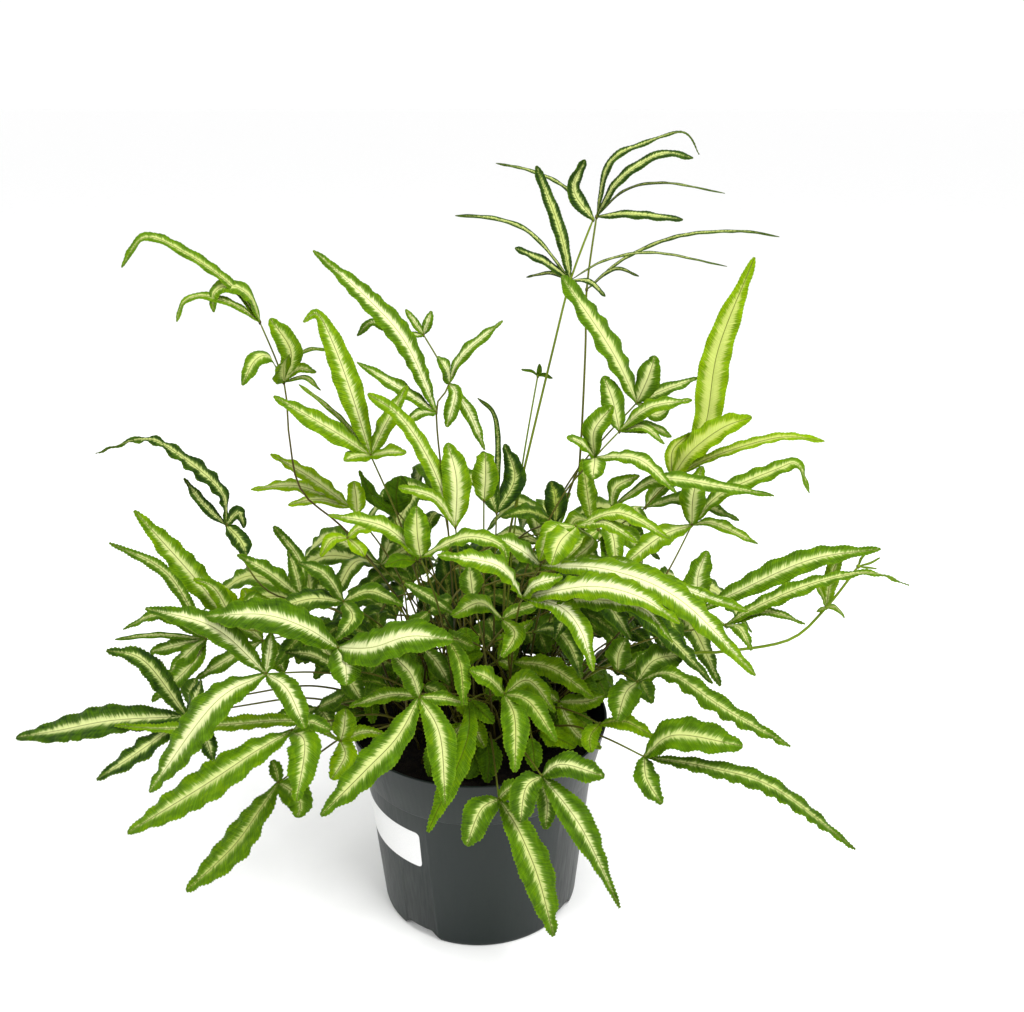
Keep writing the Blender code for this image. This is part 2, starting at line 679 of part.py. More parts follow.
def blade(leaflet, route, grow=0):
    """Corners and triangles of a blade with a lens section, waved at its edges and grown by grow."""
    outline = OUTLINES[leaflet.kind]
    if route.length < TINY_LEAFLET:
        outline = TINY_OUTLINE
    elif route.length < SHORT_LEAFLET:
        outline = SHORT_OUTLINE
    shares = [share for share, _ in outline]
    headings, uppers = blade_frames(route, shares, leaflet.roll)
    corners = []
    for i, (share, width_share) in enumerate(outline[:-1]):
        centre, upper = route.at(share), uppers[i]
        side = upper.cross(headings[i])
        half = max(leaflet.width * MM / 2 * width_share, LEAST_HALF_WIDTH) + grow
        lift = half * math.sin(FOLD)
        wave = WAVE * (-1) ** i * width_share
        thick = HALF_THICKNESS * (1 - TIP_THINNING * share) + grow
        corners += [
            centre - side * half + upper * (lift + wave),
            centre + upper * thick,
            centre + side * half + upper * (lift - wave),
            centre - upper * thick,
        ]
    corners.append(route.at(1) + headings[-1] * grow)
    faces = [(0, 1, 2, 3)]
    rings = len(outline) - 1
    for ring in range(rings - 1):
        a, b = ring * 4, ring * 4 + 4
        for edge, middle in ((0, 1), (2, 1), (2, 3), (0, 3)):
            faces.append((a + edge, b + edge, b + middle))
            faces.append((a + edge, b + middle, a + middle))
    last = (rings - 1) * 4
    for i in range(4):
        faces.append((last + i, last + (i + 1) % 4, last + 4))
    return corners, faces


def pot_radius(height):
    """The pot's outer radius at this height."""
    band_foot = POT_HEIGHT - BAND_HEIGHT
    if height >= band_foot:
        share = (height - band_foot) / BAND_HEIGHT
        return BAND_FOOT_RADIUS + (RIM_RADIUS - BAND_FOOT_RADIUS) * share
    return BASE_RADIUS + (WALL_TOP_RADIUS - BASE_RADIUS) * height / band_foot


def clear_of_pot(corners):
    """Whether all corners lie above the floor and clear of the pot and the soil."""
    for corner in corners:
        if corner.z < POT_CLEARANCE:
            return False
        if corner.z < POT_HEIGHT + POT_CLEARANCE:
            radius = math.hypot(corner.x, corner.y)
            outside = radius > pot_radius(corner.z) + POT_CLEARANCE
            inside = radius < pot_radius(corner.z) - WALL - POT_CLEARANCE
            if not (outside or inside and corner.z > SOIL_CROWN + POT_CLEARANCE / 2):
                return False
    return True


def feet_of(fronds):
    """Where each stalk leaves the soil: on its hub's side of the middle, spread to FOOT_SPACING."""
    feet = []
    for frond in fronds:
        target = Vector(frond.hubs[0].place[:2]) * MM
        angle = math.atan2(target.y, target.x)
        radius = NEAREST_FOOT + FOOT_LEAN * target.length
        for attempt in range(FOOT_TRIES):
            turned_by = angle + FOOT_TURN * attempt * (-1) ** attempt
            stretched = min(radius + FOOT_STEP * attempt, FARTHEST_FOOT)
            foot = Vector((stretched * math.cos(turned_by), stretched * math.sin(turned_by)))
            if all((foot - other).length > FOOT_SPACING for other in feet):
                break
        feet.append(foot)
    return feet


def stalk_points(foot, frond, shift, raised):
    """The stalk's route: straight up out of its hole to a neck, then through its middle to its hubs."""
    bottom = Vector((foot.x, foot.y, SOIL_TOP - HOLE_DEPTH + GAP))
    surface = Vector((foot.x, foot.y, SOIL_CROWN))
    neck = Vector((foot.x, foot.y, SOIL_CROWN + NECK_HEIGHT))
    places = [Vector(part.place) * MM for part in frond.hubs]
    run = places[0] - neck
    flat = Vector((run.x, run.y, 0))
    middle = neck + flat * STALK_MIDDLE + shift
    middle.z += run.z * STALK_RISE + flat.length * STALK_ARCH + raised
    return [bottom, surface, neck, middle, *places]


def over_the_rim(route):
    """Whether a stalk passes well above the pot's rim."""
    return all(
        place.z > POT_HEIGHT + RIM_CLEARANCE
        for place in route.places
        if abs(math.hypot(place.x, place.y) - RIM_RADIUS) < RIM_CLEARANCE + WALL
    )


def raised_route(foot, frond, shift):
    """The stalk's route with its middle raised until it passes over the rim."""
    raised = 0
    route = Route(stalk_points(foot, frond, shift, raised))
    while not over_the_rim(route) and raised < MOST_RAISED:
        raised += RIM_STEP
        route = Route(stalk_points(foot, frond, shift, raised))
    return route


def hub_shares(route, count):
    """The shares of a stalk's length where its hubs lie: its route's last points."""
    last = len(route.places) - 1
    ends = [last - Route.SAMPLES * (count - 1 - i) for i in range(count)]
    return [route.lengths[end] / route.length for end in ends]


def stalk_line(route, count):
    """The stalk's corners, each with its radius as a share of the foot's, wider at each hub."""
    beads = hub_shares(route, count)
    neck = route.lengths[2 * Route.SAMPLES] / route.length
    even = [neck + (1 - neck) * i / STALK_SEGMENTS for i in range(STALK_SEGMENTS + 1)]
    line = []
    for share in sorted({0, *even, *beads}):
        size = 1 - (1 - STALK_TIP_SHARE) * share
        if share in beads:
            line.append((route.at(share), size * BEAD_SHARE))
        elif min(abs(share - bead) for bead in beads) > HUB_SPACING:
            line.append((route.at(share), size))
    line.append((route.at(1) + route.heading(1) * BEAD_LENGTH, STALK_TIP_SHARE))
    return line


def places_along(line):
    """Places close together on the straight runs between a stalk's corners."""
    return [
        a.lerp(b, i / RUN_CHECKS)
        for (a, _), (b, _) in zip(line, line[1:])
        for i in range(RUN_CHECKS + 1)
    ]


def stalk_lines(fronds):
    """Each frond's stalk, its middle moved aside until it is clear of the stalks before it."""
    lines = []
    taken = []
    for frond, foot in zip(fronds, feet_of(fronds)):
        tree = KDTree(max(len(taken), 1))
        for index, place in enumerate(taken):
            tree.insert(place, index)
        tree.balance()
        best, best_gap = None, -1
        for attempt in range(STALK_TRIES):
            angle = GOLDEN_TURN * attempt
            shift = Vector((math.cos(angle), math.sin(angle), STALK_LIFT)) * STALK_STEP * attempt
            line = stalk_line(raised_route(foot, frond, shift), len(frond.hubs))
            gap = math.inf
            if taken:
                gap = min(tree.find(place)[2] for place in places_along(line))
            if gap > best_gap:
                best, best_gap = line, gap
            if gap > STALK_CLEARANCE:
                break
        lines.append(best)
        taken += places_along(best)
    return lines


def stalk_mesh(line):
    """A four-sided tube along a stalk's corners."""
    data = bpy.data.curves.new("stalk", "CURVE")
    data.dimensions = "3D"
    data.bevel_depth = STALK_RADIUS
    data.bevel_resolution = 0
    data.use_fill_caps = True
    run = data.splines.new("POLY")
    run.points.add(len(line) - 1)
    for point, (place, size) in zip(run.points, line):
        point.co = (*place, 1)
        point.radius = size
    guide = bpy.data.objects.new("stalk", data)
    bpy.context.scene.collection.objects.link(guide)
    graph = bpy.context.evaluated_depsgraph_get()
    mesh = bpy.data.meshes.new_from_object(guide.evaluated_get(graph))
    bpy.data.objects.remove(guide)
    bpy.data.curves.remove(data)
    shape = bmesh.new()
    shape.from_mesh(mesh)
    bmesh.ops.remove_doubles(shape, verts=shape.verts, dist=0.00001)
    bmesh.ops.recalc_face_normals(shape, faces=shape.faces)
    shape.to_mesh(mesh)
    shape.free()
    return mesh


class Obstacle:
    """A solid that later blades keep clear of."""

    def __init__(self, frond, corners, faces):
        self.frond = frond
        self.tree = BVHTree.FromPolygons(corners, faces)
        self.low = [min(c[i] for c in corners) for i in range(3)]
        self.high = [max(c[i] for c in corners) for i in range(3)]

    def meets(self, other):
        """Whether the two solids' surfaces cross."""
        for i in range(3):
            if self.low[i] > other.high[i] or self.high[i] < other.low[i]:
                return False
        return bool(self.tree.overlap(other.tree))


def bent_points(leaflet, place, bend, share):
    """The leaflet's midline from place, shortened to share and bent about it by bend degrees."""
    points = [Vector(point) * MM * share for point in leaflet.points]
    axis = SIGHT.cross(points[-1])
    turn = Matrix.Rotation(math.radians(bend), 3, axis)
    return [place, *(place + turn @ point for point in points)]


def fitted_leaflet(frond, leaflet, place, obstacles):
    """The first of the leaflet's bent forms that is clear of the pot and the obstacles, or None."""
    for share in SHARES_OF_LENGTH:
        for bend in BENDS:
            route = Route(bent_points(leaflet, place, bend, share))
            corners, faces = blade(leaflet, route, grow=BLADE_CLEARANCE)
            if not clear_of_pot(corners):
                continue
            form = Obstacle(frond, corners, faces)
            others = (other for other in obstacles if other.frond != frond)
            if not any(form.meets(other) for other in others):
                return route, form
    return None


def grown_fronds(fronds):
    """For each frond its stalk's mesh and its fitted leaflets, as (leaflet, route) pairs."""
    meshes = [stalk_mesh(line) for line in stalk_lines(fronds)]
    obstacles = [
        Obstacle(
            index,
            [vertex.co.copy() for vertex in mesh.vertices],
            [tuple(face.vertices) for face in mesh.polygons],
        )
        for index, mesh in enumerate(meshes)
    ]
    grown = []
    for index, frond in enumerate(fronds):
        kept = []
        for part in frond.hubs:
            place = Vector(part.place) * MM
            for leaflet in part.leaflets:
                fitted = fitted_leaflet(index, leaflet, place, obstacles)
                if fitted:
                    kept.append((leaflet, fitted[0]))
                    obstacles.append(fitted[1])
        grown.append((meshes[index], kept))
    return grown


def material(name, colour, roughness):
    """A plain material of this linear colour."""
    made = bpy.data.materials.new(name)
    made.use_nodes = True
    shader = made.node_tree.nodes["Principled BSDF"]
    shader.inputs["Base Color"].default_value = (*colour, 1)
    shader.inputs["Roughness"].default_value = roughness
    made.diffuse_color = (*colour, 1)
    return made


def add_object(name, mesh, collection, finish=None):
    """A new object of this mesh in the collection."""
    made = bpy.data.objects.new(name, mesh)
    collection.objects.link(made)
    if finish:
        mesh.materials.append(finish)
    return made


def mesh_from(name, corners, faces):
    """A closed mesh from corners and faces, with its faces turned outwards."""
    shape = bmesh.new()
    verts = [shape.verts.new(corner) for corner in corners]
    for face in faces:
        shape.faces.new([verts[i] for i in face])
    bmesh.ops.recalc_face_normals(shape, faces=shape.faces)
    mesh = bpy.data.meshes.new(name)
    shape.to_mesh(mesh)
    shape.free()
    return mesh


def apply_modifiers(target):
    """Replace the object's mesh with its evaluated one."""
    graph = bpy.context.evaluated_depsgraph_get()
    mesh = bpy.data.meshes.new_from_object(target.evaluated_get(graph))
    target.modifiers.clear()
    old, target.data = target.data, mesh
    bpy.data.meshes.remove(old)


def keep_outer_body(mesh):
    """Fill hollows that fusing sealed and drop loose scraps: only the widest shell stays."""
    shape = bmesh.new()
    shape.from_mesh(mesh)
    left = set(shape.verts)
    shells = []
    while left:
        shell, front = set(), [left.pop()]
        while front:
            vertex = front.pop()
            shell.add(vertex)
            near = {edge.other_vert(vertex) for edge in vertex.link_edges} & left
            left -= near
            front += near
        shells.append(shell)
    shells.sort(key=len)
    for shell in shells[:-1]:
        bmesh.ops.delete(shape, geom=list(shell), context="VERTS")
    shape.to_mesh(mesh)
    shape.free()


def can_collapse(edge, place):
    """Whether the edge can shrink to this place with the mesh still closed and no face turned over."""
    first, second = edge.verts
    around_first = {other.other_vert(first) for other in first.link_edges}
    around_second = {other.other_vert(second) for other in second.link_edges}
    if len(around_first & around_second) != 2:
        return False
    for face in {*first.link_faces, *second.link_faces} - set(edge.link_faces):
        corners = [place if vertex in edge.verts else vertex.co for vertex in face.verts]
        if normal(corners).dot(face.normal) <= 0:
            return False
    return True


def collapse_slivers(mesh):
    """Collapse the tiny edges that fusing left."""
    shape = bmesh.new()
    shape.from_mesh(mesh)
    bmesh.ops.triangulate(shape, faces=shape.faces)
    looking = True
    while looking:
        looking = False
        shape.normal_update()
        for edge in sorted(shape.edges, key=bmesh.types.BMEdge.calc_length):
            if edge.calc_length() > SLIVER:
                break
            place = (edge.verts[0].co + edge.verts[1].co) / 2
            if can_collapse(edge, place):
                bmesh.ops.pointmerge(shape, verts=list(edge.verts), merge_co=place)
                looking = True
                break
    shape.to_mesh(mesh)
    shape.free()


def add_frond(name, stalk, leaflets, collection, finish):
    """One solid: the stalk with all its leaflets joined to it."""
    frond = add_object(name, stalk, collection, finish)
    if leaflets:
        loose = bpy.data.collections.new("leaflets")
        bpy.context.scene.collection.children.link(loose)
        for leaflet, route in leaflets:
            add_object("leaflet", mesh_from("leaflet", *blade(leaflet, route)), loose)
        union = frond.modifiers.new("leaflets", "BOOLEAN")
        union.operation = "UNION"
        union.operand_type = "COLLECTION"
        union.collection = loose
        union.solver = "MANIFOLD"
        apply_modifiers(frond)
        keep_outer_body(frond.data)
        collapse_slivers(frond.data)
        for blade_object in list(loose.objects):
            bpy.data.objects.remove(blade_object)
        bpy.data.collections.remove(loose)
    frond.data.name = name
    frond.data.shade_smooth()
    frond.data.set_sharp_from_angle(angle=SHARP)


def turned(name, outline, collection, finish, steps=POT_STEPS):
    """A solid turned about Z from an outline of (radius, height) that starts and ends on the axis."""
    mesh = bpy.data.meshes.new(name)
    edges = [(i, i + 1) for i in range(len(outline) - 1)]
    mesh.from_pydata([(radius, 0, height) for radius, height in outline], edges, [])
    solid = add_object(name, mesh, collection, finish)
    screw = solid.modifiers.new("turn", "SCREW")
    screw.steps = screw.render_steps = steps
    screw.use_merge_vertices = True
    screw.merge_threshold = 0.00005
    return solid


def cut_with(target, cutters, name):
    """Cut everything in the cutters' collection out of the target."""
    cut = target.modifiers.new(name, "BOOLEAN")
    cut.operation = "DIFFERENCE"
    cut.operand_type = "COLLECTION"
    cut.collection = cutters
    cut.solver = "EXACT"


def cutter_collection(name):
    """A collection for shapes that only cut, left out of pictures."""
    made = bpy.data.collections.new(name)
    bpy.context.scene.collection.children.link(made)
    made.hide_render = True
    return made


def add_cutter(name, shape, place, cutters, turn=0):
    """A cutting shape at this place, turned about Z."""
    mesh = bpy.data.meshes.new(name)
    shape.to_mesh(mesh)
    shape.free()
    cutter = add_object(name, mesh, cutters)
    cutter.location = place
    cutter.rotation_euler.z = turn
    cutter.hide_render = True
    cutter.display_type = "WIRE"


def add_pot(collection):
    """The pot: a flared rim band over a tapered wall, on a raised floor with drainage holes."""
    band_foot = POT_HEIGHT - BAND_HEIGHT
    ring_inner = BASE_RADIUS - FOOT_RING_WIDTH
    outline = [
        (0, FLOOR_TOP),
        (BASE_RADIUS - WALL, FLOOR_TOP),
        (WALL_TOP_RADIUS - WALL, band_foot),
        (RIM_RADIUS - WALL, POT_HEIGHT - EDGE),
        (RIM_RADIUS - WALL + EDGE / 2, POT_HEIGHT),
        (RIM_RADIUS - EDGE / 2, POT_HEIGHT),
        (RIM_RADIUS, POT_HEIGHT - EDGE),
        (BAND_FOOT_RADIUS, band_foot),
        (WALL_TOP_RADIUS, band_foot - EDGE),
        (pot_radius(FOOT_CURVE), FOOT_CURVE),
        (BASE_RADIUS - EDGE / 2, EDGE),
        (BASE_RADIUS - EDGE, 0),
        (ring_inner, 0),
        (ring_inner - FOOT_SLOPE, FOOT_HEIGHT),
        (CENTRE_DISC_RADIUS + FOOT_SLOPE, FOOT_HEIGHT),
        (CENTRE_DISC_RADIUS, 0),
        (0, 0),
    ]
    finish = material("slate grey plastic", (0.055, 0.068, 0.068), 0.45)
    pot = turned("pot", outline, collection, finish)
    cutters = cutter_collection("pot cutters")
    for index in range(DRAIN_COUNT):
        angle = 2 * math.pi * (index + 0.5) / DRAIN_COUNT
        middle = (ring_inner + CENTRE_DISC_RADIUS) / 2
        hole = bmesh.new()
        bmesh.ops.create_cone(
            hole,
            cap_ends=True,
            segments=DRAIN_STEPS,
            radius1=DRAIN_RADIUS,
            radius2=DRAIN_RADIUS,
            depth=CUTTER_DEPTH,
        )
        place = (middle * math.cos(angle), middle * math.sin(angle), FLOOR_TOP / 2)
        add_cutter(f"drain_{index + 1}", hole, place, cutters)
    for index in range(NOTCH_COUNT):
        angle = NOTCH_FIRST_ANGLE + 2 * math.pi * index / NOTCH_COUNT
        notch = bmesh.new()
        bmesh.ops.create_cube(notch, size=1)
        size = Vector((FOOT_RING_WIDTH * NOTCH_REACH, NOTCH_WIDTH, NOTCH_HEIGHT * 2))
        bmesh.ops.scale(notch, vec=size, verts=notch.verts)
        lower = [vertex for vertex in notch.verts if vertex.co.z < 0]
        bmesh.ops.scale(notch, vec=(1, NOTCH_FLARE, 1), verts=lower)
        radius = BASE_RADIUS - FOOT_RING_WIDTH / 2 + NOTCH_OUTSET
        place = (radius * math.cos(angle), radius * math.sin(angle), 0)
        add_cutter(f"notch_{index + 1}", notch, place, cutters, angle)
    cut_with(pot, cutters, "drain holes and notches")


def add_soil(collection, fronds):
    """Soil up to just under the rim, with one plain hole for each stalk."""
    band_foot = POT_HEIGHT - BAND_HEIGHT
    inset = WALL + 2 * GAP
    top_radius = pot_radius(SOIL_TOP - SOIL_LIP) - inset
    outline = [
        (0, SOIL_CROWN),
        (SOIL_LEVEL_RADIUS, SOIL_CROWN),
        (top_radius, SOIL_TOP),
        (top_radius, SOIL_TOP - SOIL_LIP),
        (WALL_TOP_RADIUS - inset, band_foot - EDGE),
        (BASE_RADIUS - inset, FLOOR_TOP + GAP),
        (0, FLOOR_TOP + GAP),
    ]
    soil = turned("soil", outline, collection, material("soil", (0.012, 0.010, 0.008), 0.95))
    cutters = cutter_collection("stalk holes")
    corner = (STALK_RADIUS + GAP) * math.sqrt(2)
    for frond, foot in zip(fronds, feet_of(fronds)):
        hole = bmesh.new()
        bmesh.ops.create_cone(
            hole, cap_ends=True, segments=4, radius1=corner, radius2=corner, depth=CUTTER_DEPTH * 2
        )
        place = (foot.x, foot.y, SOIL_TOP - HOLE_DEPTH + CUTTER_DEPTH)
        add_cutter(f"hole_{frond.name}", hole, place, cutters)
    cut_with(soil, cutters, "stalk holes")


def add_label(collection):
    """A blank label that wraps the wall's front left, with rounded corners."""
    shape = bmesh.new()
    bmesh.ops.create_grid(shape, x_segments=LABEL_COLUMNS, y_segments=1, size=0.5)
    length = LABEL_SWEEP * pot_radius(LABEL_TOP)
    bmesh.ops.scale(shape, vec=(length, LABEL_HEIGHT, 1), verts=shape.verts)
    ends = [v for v in shape.verts if abs(abs(v.co.x) - length / 2) < EDGE]
    bmesh.ops.bevel(shape, geom=ends, offset=LABEL_CORNER, segments=2, affect="VERTICES")
    for vertex in shape.verts:
        height = LABEL_TOP + vertex.co.y - LABEL_HEIGHT / 2
        angle = LABEL_START - LABEL_SWEEP * (vertex.co.x / length + 0.5)
        radius = pot_radius(height) + LABEL_STANDOFF
        vertex.co = (radius * math.cos(angle), radius * math.sin(angle), height)
    mesh = bpy.data.meshes.new("label")
    shape.to_mesh(mesh)
    shape.free()
    label = add_object("label", mesh, collection, material("white paper", (0.85, 0.85, 0.85), 0.5))
    thick = label.modifiers.new("thickness", "SOLIDIFY")
    thick.thickness = LABEL_THICKNESS
    thick.offset = 1


def main():
    """Build the plant from an empty scene."""
    for old in list(bpy.data.objects):
        bpy.data.objects.remove(old)
    plant = bpy.data.collections.new("potted brake fern")
    bpy.context.scene.collection.children.link(plant)
    fronds = measured_fronds() + back_fronds()
    green = material("frond green", (0.13, 0.28, 0.04), 0.5)
    for frond, (stalk, leaflets) in zip(fronds, grown_fronds(fronds)):
        add_frond(frond.name, stalk, leaflets, plant, green)
    add_pot(plant)
    add_soil(plant, fronds)
    add_label(plant)


main()
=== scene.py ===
"""Looks of the potted brake fern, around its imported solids, in metres, +Z up.

The fronds' places, the stalks' routes and the way each leaflet is bent clear of its neighbours are
worked out here as they are for the solids. Each blade is then made finely: a toothed and ruffled
margin, a grooved midrib and a cream band that feathers out along the side veins.
"""

import json
import math
import random
from collections import namedtuple
from functools import partial, partialmethod
from itertools import accumulate

import bmesh
import bpy
import numpy as np
from mathutils import Matrix, Vector
from mathutils.bvhtree import BVHTree
from mathutils.kdtree import KDTree

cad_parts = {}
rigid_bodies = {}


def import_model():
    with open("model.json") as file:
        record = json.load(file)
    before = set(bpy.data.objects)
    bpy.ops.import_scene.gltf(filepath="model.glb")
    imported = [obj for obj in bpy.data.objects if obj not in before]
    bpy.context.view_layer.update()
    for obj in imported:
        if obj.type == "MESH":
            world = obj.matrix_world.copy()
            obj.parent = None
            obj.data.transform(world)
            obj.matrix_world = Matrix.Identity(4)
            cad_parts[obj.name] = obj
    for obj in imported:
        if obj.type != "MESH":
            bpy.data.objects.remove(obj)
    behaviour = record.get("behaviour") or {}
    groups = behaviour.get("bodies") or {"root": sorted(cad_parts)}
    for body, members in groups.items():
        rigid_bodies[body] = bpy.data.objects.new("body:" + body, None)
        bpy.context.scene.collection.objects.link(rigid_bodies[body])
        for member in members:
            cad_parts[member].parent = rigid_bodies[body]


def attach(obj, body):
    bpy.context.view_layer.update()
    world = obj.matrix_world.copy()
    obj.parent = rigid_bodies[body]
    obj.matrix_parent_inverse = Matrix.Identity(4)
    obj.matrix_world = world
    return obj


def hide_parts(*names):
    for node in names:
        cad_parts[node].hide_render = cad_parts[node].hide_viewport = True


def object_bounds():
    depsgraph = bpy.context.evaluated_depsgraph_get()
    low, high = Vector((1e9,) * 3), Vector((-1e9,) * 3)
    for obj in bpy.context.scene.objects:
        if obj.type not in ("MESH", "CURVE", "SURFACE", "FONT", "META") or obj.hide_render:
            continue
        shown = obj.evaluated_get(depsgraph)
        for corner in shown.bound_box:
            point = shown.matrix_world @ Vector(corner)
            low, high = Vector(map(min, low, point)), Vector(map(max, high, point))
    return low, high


# Camera
CAMERA_PLACE = (0.0214, -0.615, 0.507)
CAMERA_PITCH = 20.8
CAMERA_LENS = 38.67

MM = 0.001
FULL_TURN = 2 * math.pi

# Pot, in metres
POT_HEIGHT = 0.132
RIM_RADIUS = 0.0825
BAND_HEIGHT = 0.032
BAND_FOOT = POT_HEIGHT - BAND_HEIGHT
BAND_FOOT_RADIUS = 0.0750
WALL_TOP_RADIUS = 0.0736
BASE_RADIUS = 0.0642
WALL = 0.0016
FLOOR_TOP = 0.0085
EDGE = 0.0008
FOOT_EDGE = ((0.0025, 0), (0.0008, 0.0003), (0, 0.0012))  # height, inset
FOOT_RING_WIDTH = 0.016
CENTRE_DISC_RADIUS = 0.028
FOOT_HEIGHT = 0.003
FOOT_SLOPE = 0.001
LIP_RADIUS = 0.0007
LIP_STEPS = 4
MOST_LIP_SHARE = 0.45
POT_STEPS = 144
DRAIN_COUNT = 8
DRAIN_RADIUS = 0.0035
DRAIN_SIDES = 24
CUTTER_DEPTH = 0.02
NOTCH_COUNT = 4
NOTCH_WIDTH = 0.018
NOTCH_HEIGHT = 0.0068
NOTCH_FLARE = 2.4
NOTCH_REACH = 1.6
NOTCH_OUTSET = 0.0035
NOTCH_FIRST_ANGLE = math.radians(-125)
TURNED_EDGE_ANGLE = math.radians(50)

# Blank label on the front left of the wall
LABEL_TOP = 0.085
LABEL_HEIGHT = 0.0265
LABEL_START = math.radians(-119)
LABEL_SWEEP = math.radians(80)
LABEL_CORNER = 0.003
LABEL_GRID = (64, 20)
LABEL_STANDOFF = 0.0001
LABEL_THICKNESS = 0.0002

# Soil
SOIL_TOP = 0.119
SOIL_CROWN = 0.122
SOIL_LIP = 0.002
SOIL_STEPS = 150
SOIL_RINGS = 34
CROWN_POWER = 4
SOIL_SEED = 3
CRUMB_COUNT = 26
CRUMB_PITCHES = (60, 420)
CRUMB_SIZES = (0.3, 1)
CRUMB_TURN = 6.28
CRUMB_HEIGHT = 0.0011
CRUMB_EDGE = (0.083, 0.006)
GAP = 0.0003

# Stalks
HOLE_DEPTH = 0.012
STALK_RADIUS = 0.0011
STALK_TIP_SHARE = 0.7
BEAD_SHARE = 1.5
BEAD_LENGTH = 0.0012
STALK_SEGMENTS = 4
MERGE_DISTANCE = 0.00001
HUB_SPACING = 0.03
NECK_HEIGHT = 0.004
STALK_MIDDLE = 0.45
STALK_RISE = 0.6
STALK_ARCH = 0.1
FOOT_SPACING = 0.006
NEAREST_FOOT = 0.008
FOOT_LEAN = 0.2
FOOT_TURN = 0.11
FOOT_STEP = 0.0004
FOOT_TRIES = 400
FARTHEST_FOOT = 0.055
STALK_CLEARANCE = 0.0036
STALK_TRIES = 40
STALK_STEP = 0.0022
STALK_LIFT = 0.4
RUN_CHECKS = 24
GOLDEN_TURN = math.radians(137.5)
RIM_CLEARANCE = 0.003
RIM_STEP = 0.003
MOST_RAISED = 0.09

# Leaflets
HALF_THICKNESS = 0.0005
LEAST_HALF_WIDTH = 0.0005
TIP_THINNING = 0.3
FOLD = math.radians(10)
WAVE = 0.0007
SHORT_LEAFLET = 0.045
TINY_LEAFLET = 0.017
BLADE_CLEARANCE = 0.0004
POT_CLEARANCE = 0.002
HEADING_STEP = 0.04
SKY = Vector((0, -0.5, 0.87))
SIGHT = Vector((0, 0.935, -0.355))
BENDS = (0, 4, -4, 8, -8, 12, -12, 16, -16, 21, -21, 27, -27, 34, -34)
SHARES_OF_LENGTH = (1, 0.85, 0.7, 0.55)

# A blade's half width at each share of its length, as a share of its widest half width
OUTLINES = {
    "lance": ((0, 0.08), (0.16, 0.62), (0.45, 1), (0.76, 0.7), (1, 0)),
    "oval": ((0, 0.08), (0.18, 0.72), (0.5, 1), (0.82, 0.78), (1, 0)),
    "strap": ((0, 0.15), (0.15, 0.7), (0.45, 1), (0.8, 0.76), (1, 0)),
    "tail": ((0, 0.08), (0.14, 0.64), (0.36, 1), (0.66, 0.45), (1, 0)),
}
SHORT_OUTLINE = ((0, 0.08), (0.36, 0.95), (0.74, 0.85), (1, 0))
TINY_OUTLINE = ((0, 0.15), (0.5, 1), (1, 0))

Leaflet = namedtuple("Leaflet", "kind width points")
Hub = namedtuple("Hub", "place leaflets")
Frond = namedtuple("Frond", "name look hubs")

# Shade of the margin from lime to dark, where the darkest greens of fronds deep in the plant are partly
# painted shade, the band's share of the half width, how pale it is and how ruffled the margins are
Look = namedtuple("Look", "shade band pale ruffle", defaults=(1,))


def leaflet_of(kind, width, *points):
    """A leaflet of this width whose midline runs from its hub through points, in mm from the hub."""
    return Leaflet(kind, width, points)


lance, oval, strap, tail = (partial(leaflet_of, kind) for kind in OUTLINES)

# Fronds given by name. Each gives its look, then the place of each hub on its stalk, in mm, and
# the leaflets that join it there.
FRONDS = {}
FRONDS["frond_front"] = [  # Low in front, over the rim
    [(0.71, 0.23, 0.72), (38, -96, 149), oval(16, (11, -5, 11), (34, -9, 6)),
     oval(16, (-9, -11, 0), (-12, -17, -18)), tail(18, (16, -17, -12), (27, -25, -29), (43, -29, -66)),
     oval(11, (3, -6, -14), (2, -10, -28))],
    [(0.61, 0.22, 0.52), (14, -92, 131), oval(17, (-10, -13, 2), (-18, -18, -18)),
     lance(20, (11, -16, -9), (22, -24, -35), (31, -26, -74)), oval(10, (5, -3, 8), (14, 0, 11))],
    [(0.49, 0.24, 0.4), (17, -72, 187), oval(14, (-8, -6, 13), (-19, -10, 21)),
     lance(16, (6, -18, -5), (6, -32, -30)), lance(13, (14, -10, 1), (29, -20, -18)),
     lance(13, (14, 10, 3), (29, 4, -14))],
    [(0.55, 0.29, 0.66), (-30, -82, 191), lance(20, (-11, -16, -15), (-28, -28, -29), (-53, -32, -55)),
     lance(17, (12, -16, -14), (15, -30, -49)), oval(15, (-4, -4, 17), (-13, -8, 31)),
     lance(10, (-16, 6, -2), (-41, 10, -12)), lance(9, (13, 2, -2), (27, -2, -3))],
    [(0.47, 0, 0.1), (-3, -62, 177), lance(14, (-2, -22, -16), (-23, -40, -61)),
     oval(9, (5, -4, -3), (14, -8, -10))],
]
